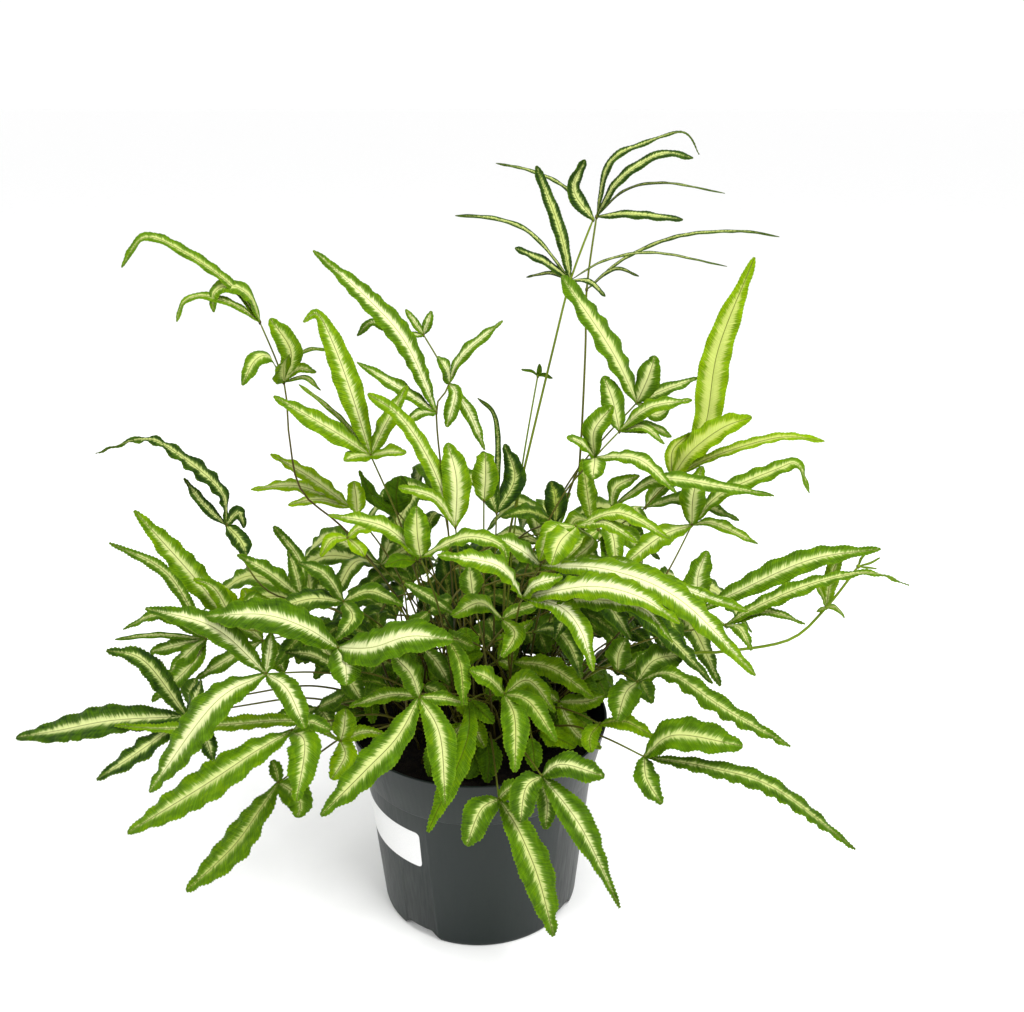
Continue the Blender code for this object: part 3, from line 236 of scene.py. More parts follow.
FRONDS["frond_left"] = [  # Left
    [(0.62, 0.34, 0.95), (-117, -70, 199), lance(25, (-24, -22, -6), (-64, -28, -59)),
     lance(17, (-29, 8, 25), (-69, 16, 33)), oval(9, (2, 4, 12), (3, 8, 22)),
     oval(14, (14, -12, -3), (24, -20, -23))],
    [(0.55, 0.2, 0.67), (-103, -78, 167), lance(24, (-17, -20, -1), (-44, -28, -17), (-91, -26, -50)),
     lance(19, (10, -16, 1), (6, -30, -26)), oval(11, (11, -4, 8), (23, -6, 4))],
    [(0.32, 0.22, 0.62), (-77, -72, 156), oval(14, (2, 2, 8), (3, 6, 18)),
     oval(15, (4, -12, -2), (-3, -20, -12)), lance(9, (13, 2, 5), (25, 4, 2)),
     lance(10, (-25, 10, 7), (-70, 18, 0), (-107, 20, -4), (-137, 20, -2))],
    [(0.58, 0.16, 0.47), (-120, -52, 114), lance(23, (-8, -14, -8), (-27, -18, -34), (-57, -20, -64)),
     oval(17, (10, -8, -1), (15, -12, -7), (13, -14, -15)), oval(8, (-1, 2, 6), (-4, 6, 12))],
    [(0.68, 0.3, 0.97), (-77, -62, 211), oval(23, (-16, -8, 17), (-40, -4, 23), (-73, 2, 19)),
     oval(26, (22, -20, 11), (44, -28, 22), (67, -30, 21)), oval(20, (6, -14, -2), (8, -26, -9))],
    [(0.78, 0.24, 0.57), (-77, -35, 227), lance(17, (-18, -7, 5), (-42, -9, -2)),
     lance(12, (-10, 1, 17), (-26, 5, 23)), lance(12, (16, 1, 6), (35, -1, -2)),
     lance(13, (7, -13, -4), (-2, -21, -14))],
    [(0.47, 0.29, 0.64), (-145, -22, 203), lance(17, (-22, -4, 38), (-49, -8, 79)),
     lance(11, (-6, -12, 31), (-17, -16, 40)), oval(10, (10, 4, 17), (26, 2, 10))],
    [(0.85, 0.27, 0.72), (-174, -42, 154), lance(14, (-18, -8, 42), (-40, -6, 48)),
     oval(11, (7, -4, 13), (12, -2, 26)), lance(23, (-43, -8, 1), (-82, -4, -10), (-115, 0, -19)),
     strap(8, (-19, -4, -3), (-40, -2, -6)), lance(15, (-26, -12, -16), (-54, -14, -35)),
     oval(11, (11, -6, -9), (16, -10, -24))],
    [(0.62, 0.27, 0.67), (-171, 2, 183), lance(9, (-20, 2, 44), (-54, 4, 64)),
     lance(9, (-26, 0, 17), (-52, 2, 6)), strap(5, (-28, -4, 5), (-55, -6, 3)),
     lance(13, (-7, -8, -3), (-23, -12, -19)), lance(16, (-7, -14, -11), (-31, -22, -32)),
     oval(12, (-17, -2, -3), (-35, -4, -7))],
    [(0.65, 0.26, 0.62), (-106, -12, 218), lance(13, (-17, -8, 21), (-34, -10, 33)),
     lance(9, (-3, 2, 18), (-7, 4, 30)), strap(8, (-4, 22, 15), (-20, 28, 36))],
    [(0.05, 0.28, 0.4), (-75, -18, 260), oval(9, (-9, -2, 0), (-16, -4, -10)),
     oval(10, (7, 0, 6), (16, 0, 6)), oval(9, (7, -4, -5), (10, -6, -9))],
    [(0, 0.42, 0.6), (-77, 14, 267), lance(12, (-23, -6, 22), (-45, -8, 37)),
     lance(11, (-31, 0, 14), (-61, 2, 11)), strap(8, (-17, -10, 9), (-35, -14, 7))],
    [(0.75, 0.26, 0.62), (-80, -48, 190), lance(12, (-14, -4, 11), (-29, -6, 14)),
     lance(13, (-11, -6, -5), (-24, -8, -17)), oval(11, (-8, 4, 10), (-14, 4, 21)),
     oval(13, (7, -4, -6), (14, -8, -17))],
]
FRONDS["frond_high_left"] = [  # Upper left
    [(0.42, 0.3, 0.57, 0.6), (-103, -2, 283), (-112, 12, 346), oval(14, (5, 2, 18), (-6, 4, 37)),
     oval(18, (2, -8, 11), (6, -14, 19)), oval(13, (-6, -8, 17), (-13, -14, 16), (-20, -18, 3)),
     lance(9, (9, 0, 8), (20, -4, 7)), lance(5, (13, -4, 4), (23, -10, -2)),
     strap(4, (4, 10, 11), (14, 12, 17), (25, 10, 17)), (-125, 20, 380),
     strap(9, (-13, -6, 22), (-37, -12, 42), (-56, -16, 50), (-70, -18, 34)),
     lance(14, (-4, -2, 15), (-13, -6, 22), (-22, -10, 19), (-23, -12, 8)),
     strap(7, (-11, -8, 11), (-28, -10, 17), (-39, -12, 14), (-44, -14, 3))],
    [(0.95, 0.26, 0.55, 1.3), (-129, -4, 220), (-152, 5, 259),
     tail(12, (-1, -3, 24), (-25, -9, 51), (-41, -11, 58), (-68, -13, 50)),
     lance(8, (-11, -3, 14), (-21, -5, 32)), oval(9, (7, 3, 7), (10, 3, -3)),
     oval(12, (9, -5, -8), (13, -9, -16))],
    [(0.32, 0.27, 0.67, 0.8), (-60, -12, 309), lance(16, (-19, -8, 17), (-52, -6, 37)),
     lance(16, (-9, 0, 36), (-19, 8, 63), (-28, 14, 79), (-36, 12, 75)),
     oval(12, (-7, -10, 3), (-13, -16, 2)), oval(12, (12, -10, 5), (22, -14, 6)),
     lance(13, (8, 2, 16), (22, 6, 40)), strap(4, (-15, 8, 17), (-29, 10, 30), (-41, 12, 39))],
    [(0.52, 0.32, 0.92, 0.7), (-23, 8, 329), lance(17, (-16, -4, 42), (-38, -2, 68), (-67, 4, 93)),
     strap(9, (-18, 8, 38), (-35, 12, 51), (-46, 12, 43)), lance(12, (-20, -6, 16), (-44, -8, 32)),
     oval(9, (-9, -8, 2), (-16, -12, -2)), (-16, 22, 343), oval(13, (-1, -6, 10), (-6, -8, 18)),
     lance(11, (8, 4, 16), (32, 2, 37)), lance(9, (12, -4, -17), (21, -8, -39)),
     oval(10, (4, -8, -5), (-1, -14, -23)), (-32, 42, 368), oval(7, (-5, -2, 8), (-10, -4, 16)),
     oval(7, (3, 0, 8), (5, 2, 14)), oval(7, (-7, -6, 1), (-13, -8, 4))],
]
FRONDS["frond_middle"] = [  # Middle
    [(0.44, 0.37, 1.05), (27, -78, 250), lance(16, (-13, -14, 25), (-44, -18, 33)),
     oval(12, (7, -6, 11), (21, -10, 17)), lance(19, (34, -20, 16), (59, -30, 15), (80, -34, 2)),
     lance(14, (32, -16, 7), (60, -28, 8), (77, -34, -9)),
     lance(14, (19, -16, 3), (30, -26, -6), (37, -30, -28)), (37, -60, 261),
     lance(20, (36, -24, 8), (71, -44, 0), (110, -56, -37)),
     strap(10, (38, -10, 6), (73, -26, -1), (108, -36, -10)), oval(15, (-11, -6, 12), (-24, -10, 21))],
    [(0.37, 0.34, 0.64), (-29, -58, 265), lance(12, (-19, -4, 20), (-49, -2, 26)),
     oval(15, (-1, -4, 15), (-1, -4, 32)), lance(12, (25, -12, 17), (44, -20, 16), (48, -24, 6))],
    [(0.43, 0.27, 0.54), (16, -62, 229), oval(14, (-12, -10, 15), (-27, -18, 11)),
     lance(10, (7, 4, 3), (24, 6, 8)), lance(12, (7, -10, -4), (0, -18, -14))],
    [(0.55, 0.15, 0.3), (-15, -66, 220), lance(11, (8, -10, -12), (10, -16, -34)),
     oval(14, (-13, 10, -7), (-25, 16, -3)), oval(14, (6, 8, -6), (15, 10, -12))],
    [(0.3, 0.36, 0.77, 0.7), (-11, -30, 272), strap(11, (-14, 4, 38), (-30, 8, 63), (-48, 10, 76)),
     oval(17, (1, 2, 28), (-4, 8, 48)), strap(9, (-11, -4, 19), (-31, -8, 27))],
    [(0.92, 0.2, 0.45), (12, 8, 266), oval(14, (-6, 0, 21), (-8, 4, 38)),
     lance(15, (11, 8, 19), (5, 12, 40)), strap(4, (1, 6, 44), (-2, 8, 61), (-11, 10, 69))],
    [(0.85, 0.2, 0.25), (48, 12, 258), oval(15, (0, 2, 15), (-3, 6, 25)),
     lance(13, (-17, -8, 10), (-33, -12, 8))],
    [(0.7, 0, 0.1), (37, 36, 344), strap(3, (-4, 0, 3), (-10, 0, 4)), oval(4, (1, -2, 4), (1, -2, 8)),
     oval(4, (4, -2, 1), (9, -2, -1))],
    [(0.28, 0.32, 0.62), (56, -62, 285), oval(17, (-9, -16, -2), (-14, -22, -13)),
     oval(12, (-13, -8, 1), (-20, -14, -14)), lance(11, (23, -8, 11), (50, -14, -2)),
     lance(9, (15, -10, 6), (32, -16, -3)), lance(12, (10, 4, -10), (-3, 8, -25))],
]
FRONDS["frond_tall"] = [  # Tall narrow fertile fronds
    [(1.1, 0.3, 0.55, 0.5), (19, 10, 246), (56, 40, 401), strap(10, (-7, -2, 29), (-21, -6, 65)),
     strap(5, (-23, -6, 27), (-44, -8, 36), (-67, -10, 38)), strap(10, (-15, -6, 11), (-33, -12, 20)),
     strap(4, (-12, 6, 3), (-26, 10, 0)), strap(5, (11, -6, 0), (20, -10, -8)),
     strap(3, (21, 4, 11), (50, 6, 15), (93, 6, 7)), (69, 48, 435), strap(11, (-12, -4, 17), (-6, -6, 34)),
     strap(4, (-17, 4, 18), (-37, 6, 27), (-57, 8, 31))],
    [(1.05, 0.3, 0.52, 0.5), (64, 40, 292), (67, 60, 392),
     strap(4, (23, 0, 19), (55, 0, 32), (91, -2, 35), (114, -4, 32)), strap(4, (16, -4, 13), (31, -6, 9)),
     (72, 62, 435), tail(8, (7, -2, 31), (27, -2, 42), (49, -4, 48), (58, -8, 36)),
     strap(9, (13, -4, 22), (36, -4, 36), (55, -6, 34)), strap(3, (17, 4, 15), (41, 6, 19), (77, 6, 13)),
     strap(9, (20, -4, 2), (51, -6, -1))],
]
FRONDS["frond_right"] = [  # Right
    [(0.65, 0.24, 0.64), (95, -92, 159), oval(21, (15, -8, 19), (51, -14, 16)),
     lance(12, (34, -12, 1), (69, -18, -8), (117, -20, -47)), lance(14, (0, -14, -5), (8, -20, -17))],
    [(0.67, 0.24, 0.59, 1.5), (84, -40, 184), oval(15, (0, -2, 12), (4, -2, 23)),
     lance(9, (9, 6, 1), (20, 10, 9)), (93, -62, 189),
     lance(13, (17, -12, 12), (46, -24, -3), (84, -26, -26)), oval(18, (10, 4, 12), (29, 6, 15)),
     oval(18, (-8, -14, 1), (-13, -22, -12))],
    [(0.37, 0.12, 0.25), (72, -68, 165), lance(11, (13, -10, 8), (30, -18, 2)),
     oval(10, (-6, -8, -3), (-6, -14, -10))],
    [(0.55, 0.27, 0.77, 0.7), (136, -18, 213), lance(18, (21, -4, 15), (61, -4, 35), (102, -2, 41)),
     oval(17, (-5, -4, 22), (0, -2, 40))],
    [(0.55, 0.3, 0.62), (148, -30, 209), tail(12, (16, -4, 14), (47, -6, 30), (79, -4, 36), (104, -4, 28)),
     lance(9, (6, -12, 4), (12, -20, -6)), lance(7, (22, -4, 11), (46, -4, 3)),
     strap(5, (-9, -6, 8), (-17, -10, 10))],
    [(0.4, 0.22, 0.42), (148, -22, 187), (190, -18, 193), (213, -10, 211),
     oval(10, (0, -2, 20), (4, -2, 37)), lance(6, (-6, -4, 13), (-14, -6, 23)),
     oval(4, (-4, -6, 2), (-8, -8, 1)), strap(5, (7, 4, -2), (14, 6, -10)), (233, 0, 234),
     strap(2, (1, 0, 5), (4, 0, 9)), strap(2, (7, 2, 1), (14, 4, 4)), strap(2, (4, -2, 0), (10, -4, 0))],
    [(0.38, 0.35, 0.62), (127, -15, 267), lance(16, (0, 1, 19), (5, 5, 35)),
     lance(13, (16, 3, 18), (48, 5, 33), (60, 5, 36), (68, 3, 19)),
     lance(15, (-20, -15, -1), (-45, -27, -16)), lance(9, (13, -3, 2), (38, -7, -9))],
    [(0.55, 0.29, 0.67, 0.6), (103, 12, 268), lance(12, (23, -8, 8), (55, -12, -4)),
     lance(12, (9, 6, 10), (24, 8, 16)), lance(8, (-7, -8, -2), (1, -16, -14))],
    [(0.5, 0.32, 0.62, 0.6), (77, -10, 267), lance(13, (3, -20, -3), (4, -26, -19)),
     lance(14, (16, -2, -11), (22, -4, -27)), (79, -22, 281),
     lance(12, (26, -6, 19), (63, -8, 15), (91, -8, 10)), lance(12, (2, -2, 13), (15, -2, 20))],
    [(0.5, 0.34, 0.72, 0.7), (69, -15, 309), oval(15, (-1, -3, 17), (9, -5, 32)),
     oval(11, (-9, -7, 11), (-17, -11, 15)), lance(12, (25, -9, 1), (46, -15, -17)),
     oval(14, (-1, -9, -2), (-2, -13, -9)), (84, 0, 320), lance(13, (16, -6, 16), (40, -8, 21)),
     lance(8, (13, -8, 5), (25, -12, -4)), oval(10, (18, 2, 2), (31, 2, -4)),
     oval(15, (-4, 4, 17), (-10, 4, 32))],
    [(0.62, 0.41, 0.72, 0.9), (95, 12, 334), strap(19, (-17, -4, 33), (-46, -8, 75)),
     oval(16, (5, -4, 15), (9, -4, 29)), lance(10, (16, 2, 7), (36, 4, 14)),
     lance(12, (11, -2, -7), (21, -2, -1))],
    [(0.1, 0.56, 0.16, 0.8), (116, -2, 292), lance(19, (19, 12, 26), (25, 16, 73), (42, 16, 126)),
     oval(18, (9, -6, 18), (26, -8, 33), (42, -10, 40)), strap(8, (25, 2, 13), (63, 6, 23), (90, 8, 20)),
     lance(9, (2, 16, 12), (14, 20, 22))],
    [(0.45, 0.26, 0.47), (70, 10, 259), lance(13, (-3, 4, 19), (-6, 6, 39)),
     lance(12, (-10, -6, 4), (-16, -10, -6))],
    [(0.88, 0.24, 0.62), (65, -36, 235), lance(14, (23, -6, -5), (46, -10, -24), (71, -14, -51)),
     lance(14, (12, -8, -6), (25, -14, -25)), lance(13, (-10, -8, -6), (-19, -14, -25)),
     oval(12, (-16, 0, 3), (-31, 0, -6))],
]
FRONDS["frond_low"] = [  # Young fronds inside the rim
    [(0.4, 0.21, 0.52), (50, -32, 158), oval(14, (16, -6, 4), (27, -6, 8)),
     lance(13, (8, -20, -8), (22, -30, -12)), oval(12, (-10, 4, 4), (-20, 4, 2))],
    [(0.4, 0.2, 0.42), (22, -20, 179), lance(16, (25, -6, -1), (50, -10, -18)),
     lance(13, (-14, -10, 2), (-26, -18, -12)), oval(12, (-2, 12, 8), (-8, 24, 4))],
    [(0.35, 0.2, 0.42), (-8, -42, 150), oval(12, (8, -8, 0), (16, -14, -10)),
     lance(12, (-6, -12, -4), (-12, -20, -16)), oval(11, (-10, 4, 4), (-22, 4, 0))],
]
# The darker greens of the inner fronds behind and low in the middle are partly painted shade
FRONDS["inner_frond"] = [  # The plant's middle, which the solids leave out
    [(0.45, 0.22, 0.49), (13, -20, 180), lance(13, (8, 2, 13), (21, 8, 23)),
     oval(9, (8, -6, 1), (15, -10, -5))],
    [(0.77, 0.24, 0.49), (34, -30, 205), lance(13, (13, -8, 5), (22, -16, -3), (28, -20, -20))],
    [(0.95, 0.22, 0.44), (29, -10, 174), lance(12, (15, -4, 0), (37, -12, -7), (51, -18, -15)),
     lance(11, (13, -10, -15), (20, -16, -24))],
    [(0.49, 0, 0.1), (-8, -24, 181), oval(20, (1, 0, 12), (2, 4, 22)), oval(13, (9, -4, 6), (18, -2, 11))],
    [(0.37, 0, 0.1), (-12, -50, 169), lance(14, (12, -8, -1), (23, -12, -4))],
    [(0.72, 0, 0.1), (4, -42, 140), oval(14, (5, -4, 4), (11, -6, 7)),
     oval(12, (-3, -8, -2), (-5, -12, -7)), lance(16, (4, -12, -8), (3, -20, -21))],
    [(0.7, 0, 0.1), (0, -50, 134), oval(15, (-4, -6, -6), (-7, -12, -14))],
    [(0.35, 0, 0.1), (39, -44, 147), lance(14, (12, -6, -2), (28, -10, -6))],
    [(0.6, 0, 0.1), (33, -54, 147), lance(11, (1, -6, -6), (2, -12, -15))],
    [(0.75, 0.15, 0.25), (62, -40, 156), oval(15, (7, -2, 7), (16, -2, 14)),
     oval(13, (6, -8, -4), (13, -14, -9))],
    [(0.65, 0.1, 0.2), (-53, -36, 171), lance(12, (-9, -4, 6), (-18, -8, 8)),
     lance(11, (7, 2, 6), (15, 6, 12))],
    [(0.65, 0.22, 0.44), (-51, -22, 173), lance(14, (-10, -4, 8), (-20, -8, 16))],
    [(0.78, 0.22, 0.62), (-32, -20, 188), lance(14, (8, -6, -7), (15, -10, -19))],
    [(0.75, 0.21, 0.52), (-31, -42, 175), lance(13, (7, -4, -2), (14, -8, -8))],
    [(0.6, 0, 0.1), (-27, -56, 145), lance(10, (1, -6, -8), (0, -10, -17))],
    [(0.75, 0, 0.1), (-53, 20, 262), oval(18, (5, -2, 11), (8, -2, 24)),
     lance(10, (-11, -4, 12), (-18, -6, 29))],
    [(0.08, 0.4, 0.6), (-72, 4, 267), strap(12, (0, 0, 10), (-1, 0, 21))],
    [(0.46, 0.34, 0.7), (5, -14, 282), strap(16, (1, 0, 14), (1, 2, 29))],
    [(0.98, 0.24, 0.45), (34, 8, 261), lance(18, (-8, 2, 20), (-16, 4, 51))],
    [(1, 0.18, 0.45), (49, 16, 258), strap(16, (-1, 0, 11), (-3, 0, 24))],
    [(0.7, 0.35, 0.67), (71, 14, 256), lance(14, (-4, 0, 19), (-8, 2, 40))],
    [(0.62, 0.26, 0.55), (9, -30, 268), lance(15, (14, -2, 12), (31, -4, 11))],
    [(0.6, 0.3, 0.57), (40, -40, 249), lance(19, (-10, -2, 12), (-23, -2, 21))],
    [(0.5, 0.26, 0.52), (71, -30, 270), lance(14, (-9, -4, -6), (-19, -8, -15))],
    [(0.5, 0.34, 0.59), (79, -36, 248), strap(14, (0, 0, 11), (-3, 1, 21)),
     lance(13, (7, -2, 10), (15, -2, 19))],
    [(0.6, 0.32, 0.64), (-1, -44, 234), lance(15, (-1, 0, 11), (-2, 2, 20))],
    [(0.72, 0.21, 0.57), (-42, -30, 237), lance(10, (15, -6, -7), (30, -12, -16))],
    [(0.75, 0.21, 0.52), (-49, -16, 216), lance(12, (-14, -4, 10), (-27, -8, 12))],
    [(0.45, 0.1, 0.2), (-41, -4, 224), oval(13, (-5, 0, 6), (-10, 2, 10)),
     lance(9, (-17, 2, 18), (-31, 2, 15))],
    [(0.72, 0.2, 0.47), (-29, -10, 208), oval(15, (7, -2, 6), (14, -4, 11)),
     lance(13, (-7, -4, -5), (-14, -8, -12))],
    [(0.55, 0.27, 0.67), (-135, 0, 183), lance(14, (-17, -4, -8), (-41, -8, -22)),
     oval(14, (9, -6, -7), (14, -10, -17)), oval(12, (-9, 4, 6), (-19, 6, 10))],
    [(0.75, 0.2, 0.47), (-94, -24, 186), lance(13, (-10, -4, -7), (-21, -10, -18)),
     oval(15, (6, -6, -8), (9, -12, -19)), lance(13, (-14, 4, 1), (-31, 8, 3))],
    [(0.82, 0.22, 0.52), (-174, -30, 154), oval(13, (0, 2, 9), (3, 4, 17)),
     oval(12, (4, -6, -8), (7, -10, -19))],
    [(0.12, 0.39, 0.57), (-118, -30, 214), lance(12, (-7, 0, 10), (-16, 2, 15)),
     oval(12, (7, -4, 10), (14, -8, 11))],
    [(0.1, 0.26, 0.52), (-144, -14, 203), oval(17, (8, 0, 11), (3, 2, 22)),
     lance(14, (-9, -2, 18), (-19, -6, 31))],
    [(0.7, 0.22, 0.47), (-95, -40, 159), lance(12, (-10, -6, 0), (-28, -12, -2)),
     oval(12, (8, -4, 6), (18, -6, 13)), oval(11, (6, -8, -2), (10, -12, -8))],
    [(0.72, 0.22, 0.57), (-90, -14, 201), oval(17, (-7, 0, 9), (-14, 0, 13)),
     oval(15, (3, -6, -7), (9, -10, -15))],
    [(0.66, 0, 0.1), (-48, 8, 266), oval(17, (0, -4, 13), (2, -6, 25)),
     lance(12, (-8, -6, 7), (-14, -8, 14))],
    [(0.55, 0, 0.1), (-36, -14, 244), oval(18, (2, -2, 15), (5, -2, 31)),
     lance(12, (-9, -4, 2), (-18, -6, -1))],
    [(0.65, 0.29, 0.54), (-6, -24, 239), lance(14, (-1, -2, 20), (-3, 0, 42)),
     lance(13, (9, -4, 11), (16, -6, 23))],
    [(0.55, 0.32, 0.62), (50, -20, 221), lance(14, (-7, -2, 11), (-20, -4, 16)),
     oval(14, (9, -4, 8), (17, -6, 14))],
    [(0.5, 0.22, 0.57), (80, -30, 224), lance(15, (9, -4, 8), (20, -8, 8)),
     oval(13, (-5, 0, 9), (-8, 0, 18))],
    [(0.92, 0.1, 0.3), (-20, 50, 184), lance(17, (-2, 0, 17), (-5, 2, 36)),
     lance(15, (-13, -3, 10), (-28, -6, 15)), oval(15, (12, -3, 9), (22, -6, 11)),
     oval(15, (-3, -6, -10), (-6, -10, -22))],
    [(0.9, 0, 0.1), (6, 58, 176), oval(18, (2, 0, 15), (5, 2, 31)), lance(15, (-12, -4, 6), (-25, -8, 4)),
     lance(15, (13, -4, 7), (26, -8, 6))],
    [(0.88, 0.12, 0.3), (34, 62, 171), lance(17, (-3, 0, 18), (-5, 2, 38)),
     oval(15, (-12, -4, 5), (-22, -7, 3)), lance(15, (12, -4, 8), (27, -8, 9)),
     oval(15, (2, -6, -9), (5, -12, -20))],
    [(0.92, 0.1, 0.25), (66, 56, 178), oval(18, (2, 0, 14), (5, 1, 30)),
     lance(14, (-11, -3, 9), (-24, -6, 12)), lance(15, (13, -4, 5), (27, -9, 3))],
    [(0.86, 0.14, 0.3), (94, 46, 184), lance(16, (-2, 0, 16), (-6, 2, 33)),
     oval(14, (-11, -3, 6), (-21, -6, 6)), lance(14, (10, -4, 9), (21, -9, 12))],
    [(0.92, 0, 0.1), (-8, 98, 172), oval(20, (-2, 0, 15), (-4, 2, 33)),
     lance(17, (-14, -2, 8), (-30, -4, 9)), lance(17, (13, -3, 9), (26, -6, 10))],
    [(0.9, 0.12, 0.3), (22, 104, 167), lance(19, (3, 0, 17), (5, 2, 37)),
     lance(16, (-12, -4, 7), (-25, -8, 6)), oval(17, (12, -4, 6), (24, -8, 5))],
    [(0.92, 0.1, 0.25), (54, 102, 166), oval(20, (-1, 0, 16), (-3, 2, 34)),
     lance(16, (-13, -4, 5), (-26, -8, 1)), lance(16, (14, -4, 8), (29, -8, 9))],
    [(0.88, 0.12, 0.3), (84, 94, 172), lance(18, (2, 0, 17), (3, 2, 36)),
     oval(16, (-12, -3, 8), (-23, -6, 10)), oval(16, (12, -4, 6), (23, -8, 6))],
    [(0.94, 0, 0.1), (-14, 74, 158), oval(15, (-3, 2, 12), (-6, 3, 26)),
     oval(13, (-11, -1, 3), (-21, -3, 0)), oval(13, (10, -1, 7), (18, -3, 10)),
     oval(12, (-2, 3, -9), (-3, 3, -19))],
    [(0.94, 0, 0.1), (12, 70, 156), oval(15, (1, 2, 12), (0, 3, 25)), oval(13, (10, -2, 5), (20, -4, 5)),
     oval(12, (-8, -2, 8), (-12, -4, 18)), oval(12, (3, 3, -9), (4, 3, -18))],
]


def placed_fronds(groups):
    """The fronds of these groups, numbered in their order."""
    fronds = []
    for group in groups:
        for number, (look, *parts) in enumerate(FRONDS[group], start=1):
            hubs = []
            for part in parts:
                if isinstance(part, Leaflet):
                    hubs[-1].leaflets.append(part)
                else:
                    hubs.append(Hub(part, []))
            fronds.append(Frond(f"{group}_{number}", Look(*look), hubs))
    return fronds


# Fronds behind, placed by a rule, in mm and degrees
BACK_SEED = 11
BACK_COUNT = 7
BACK_FIRST_HEADING = 14
BACK_HEADING_STEP = 25
BACK_REACHES = (112, 64, 92)
BACK_HEIGHTS = (188, 248, 214)
BACK_SPREAD = 8
BACK_TURN_SPREAD = 9
BACK_LENGTHS = (0.85, 1.1)
BACK_RISES = (6, 16)
BACK_DROOPS = (18, 40)
BACK_DROOP_LENGTH = 70
BACK_OVAL_LENGTH = 55
BACK_TIP_SHARE = 0.94
BACK_LOOK = Look(0.68, 0.42, 0.55)
BACK_LEAFLETS = (
    # turn from the frond's heading, length, width
    (0, 92, 18),
    (48, 74, 16),
    (-52, 70, 16),
    (104, 50, 13),
    (-98, 46, 13),
)


def arching_leaf(turn, length, width, rise, droop):
    """A leaflet that leaves its hub at this compass turn, rises and then droops."""
    out = Vector((math.cos(math.radians(turn)), math.sin(math.radians(turn)), 0))
    middle = out * length / 2 + Vector((0, 0, rise))
    tip = out * length * BACK_TIP_SHARE + Vector((0, 0, rise - droop))
    return (oval if length < BACK_OVAL_LENGTH else lance)(width, tuple(middle), tuple(tip))


def back_fronds():
    """Fronds that fan out behind the others, near ones taller than far ones."""
    draw = random.Random(BACK_SEED)
    fronds = []
    for index in range(BACK_COUNT):
        heading = BACK_FIRST_HEADING + index * BACK_HEADING_STEP
        reach = BACK_REACHES[index % 3] + draw.uniform(-BACK_SPREAD, BACK_SPREAD)
        height = BACK_HEIGHTS[index % 3] + draw.uniform(-BACK_SPREAD, BACK_SPREAD)
        angle = math.radians(heading)
        place = (reach * math.cos(angle), reach * math.sin(angle), height)
        leaflets = [
            arching_leaf(
                heading + turn + draw.uniform(-BACK_TURN_SPREAD, BACK_TURN_SPREAD),
                length * draw.uniform(*BACK_LENGTHS),
                width,
                draw.uniform(*BACK_RISES),
                draw.uniform(*BACK_DROOPS) * length / BACK_DROOP_LENGTH,
            )
            for turn, length, width in BACK_LEAFLETS
        ]
        fronds.append(Frond(f"frond_back_{index + 1}", BACK_LOOK, [Hub(place, leaflets)]))
    return fronds


# Young fronds that fill the pot, in mm and degrees: how many, then the range of their headings, reach
# from the middle, height, leaflet lengths and widths, and their look, whose dark greens are partly
# painted shade deep in the plant
Storey = namedtuple("Storey", "count headings reach height lengths widths look")
STOREYS = (
    Storey(32, (0, 360), (14, 76), (138, 162), (20, 36), (10, 16), Look(0.62, 0.08, 0.20)),
    Storey(40, (12, 132), (36, 112), (150, 208), (24, 44), (12, 17), Look(0.88, 0.10, 0.25)),
    Storey(26, (60, 130), (56, 88), (137, 160), (16, 30), (9, 13), Look(0.95, 0.00, 0.10)),
    Storey(30, (-28, 208), (10, 96), (166, 214), (28, 50), (10, 17), Look(0.80, 0.12, 0.30)),
    Storey(18, (-24, 204), (20, 120), (216, 268), (36, 62), (11, 17), Look(0.74, 0.24, 0.40)),
)
YOUNG_SEED = 8
YOUNG_TURNS = (0, 52, -50, 108, -104)
YOUNG_COUNTS = (3, 4, 5)
YOUNG_TURN_SPREAD = 12
YOUNG_CROWDING = 0.6
YOUNG_FALL = 10
YOUNG_SIDE_LOSS = 0.3
YOUNG_WIDTH_SHARES = (0.8, 0.2)
YOUNG_LENGTHS = (0.85, 1.1)
YOUNG_RISES = (0.08, 0.3)
YOUNG_DROOPS = (0.1, 0.45)


def young_fronds():
    """Short fronds spread over the soil, in storeys, each one's leaflets fanned around its heading."""
    draw = random.Random(YOUNG_SEED)
    kept_width, grown_width = YOUNG_WIDTH_SHARES
    fronds = []
    for storey in STOREYS:
        for index in range(storey.count):
            share = (index + 0.5) / storey.count
            first, last = storey.headings
            around = math.degrees(GOLDEN_TURN) * index % 360 / 360
            spread = draw.uniform(-YOUNG_TURN_SPREAD, YOUNG_TURN_SPREAD)
            heading = first + (last - first) * around + spread
            low, high = storey.reach
            reach = low + (high - low) * share**YOUNG_CROWDING
            angle = math.radians(heading)
            height = draw.uniform(*storey.height) - YOUNG_FALL * share
            place = (reach * math.cos(angle), reach * math.sin(angle), height)
            length = draw.uniform(*storey.lengths)
            width = draw.uniform(*storey.widths)
            leaflets = []
            for turn in YOUNG_TURNS[: draw.choice(YOUNG_COUNTS)]:
                size = 1 - YOUNG_SIDE_LOSS * abs(turn) / max(YOUNG_TURNS)
                leaflets.append(
                    arching_leaf(
                        heading + turn + draw.uniform(-YOUNG_TURN_SPREAD, YOUNG_TURN_SPREAD),
                        length * size * draw.uniform(*YOUNG_LENGTHS),
                        width * (kept_width + grown_width * size),
                        draw.uniform(*YOUNG_RISES) * length,
                        draw.uniform(*YOUNG_DROOPS) * length,
                    )
                )
            name = f"young_frond_{len(fronds) + 1}"
            fronds.append(Frond(name, storey.look, [Hub(place, leaflets)]))
    return fronds


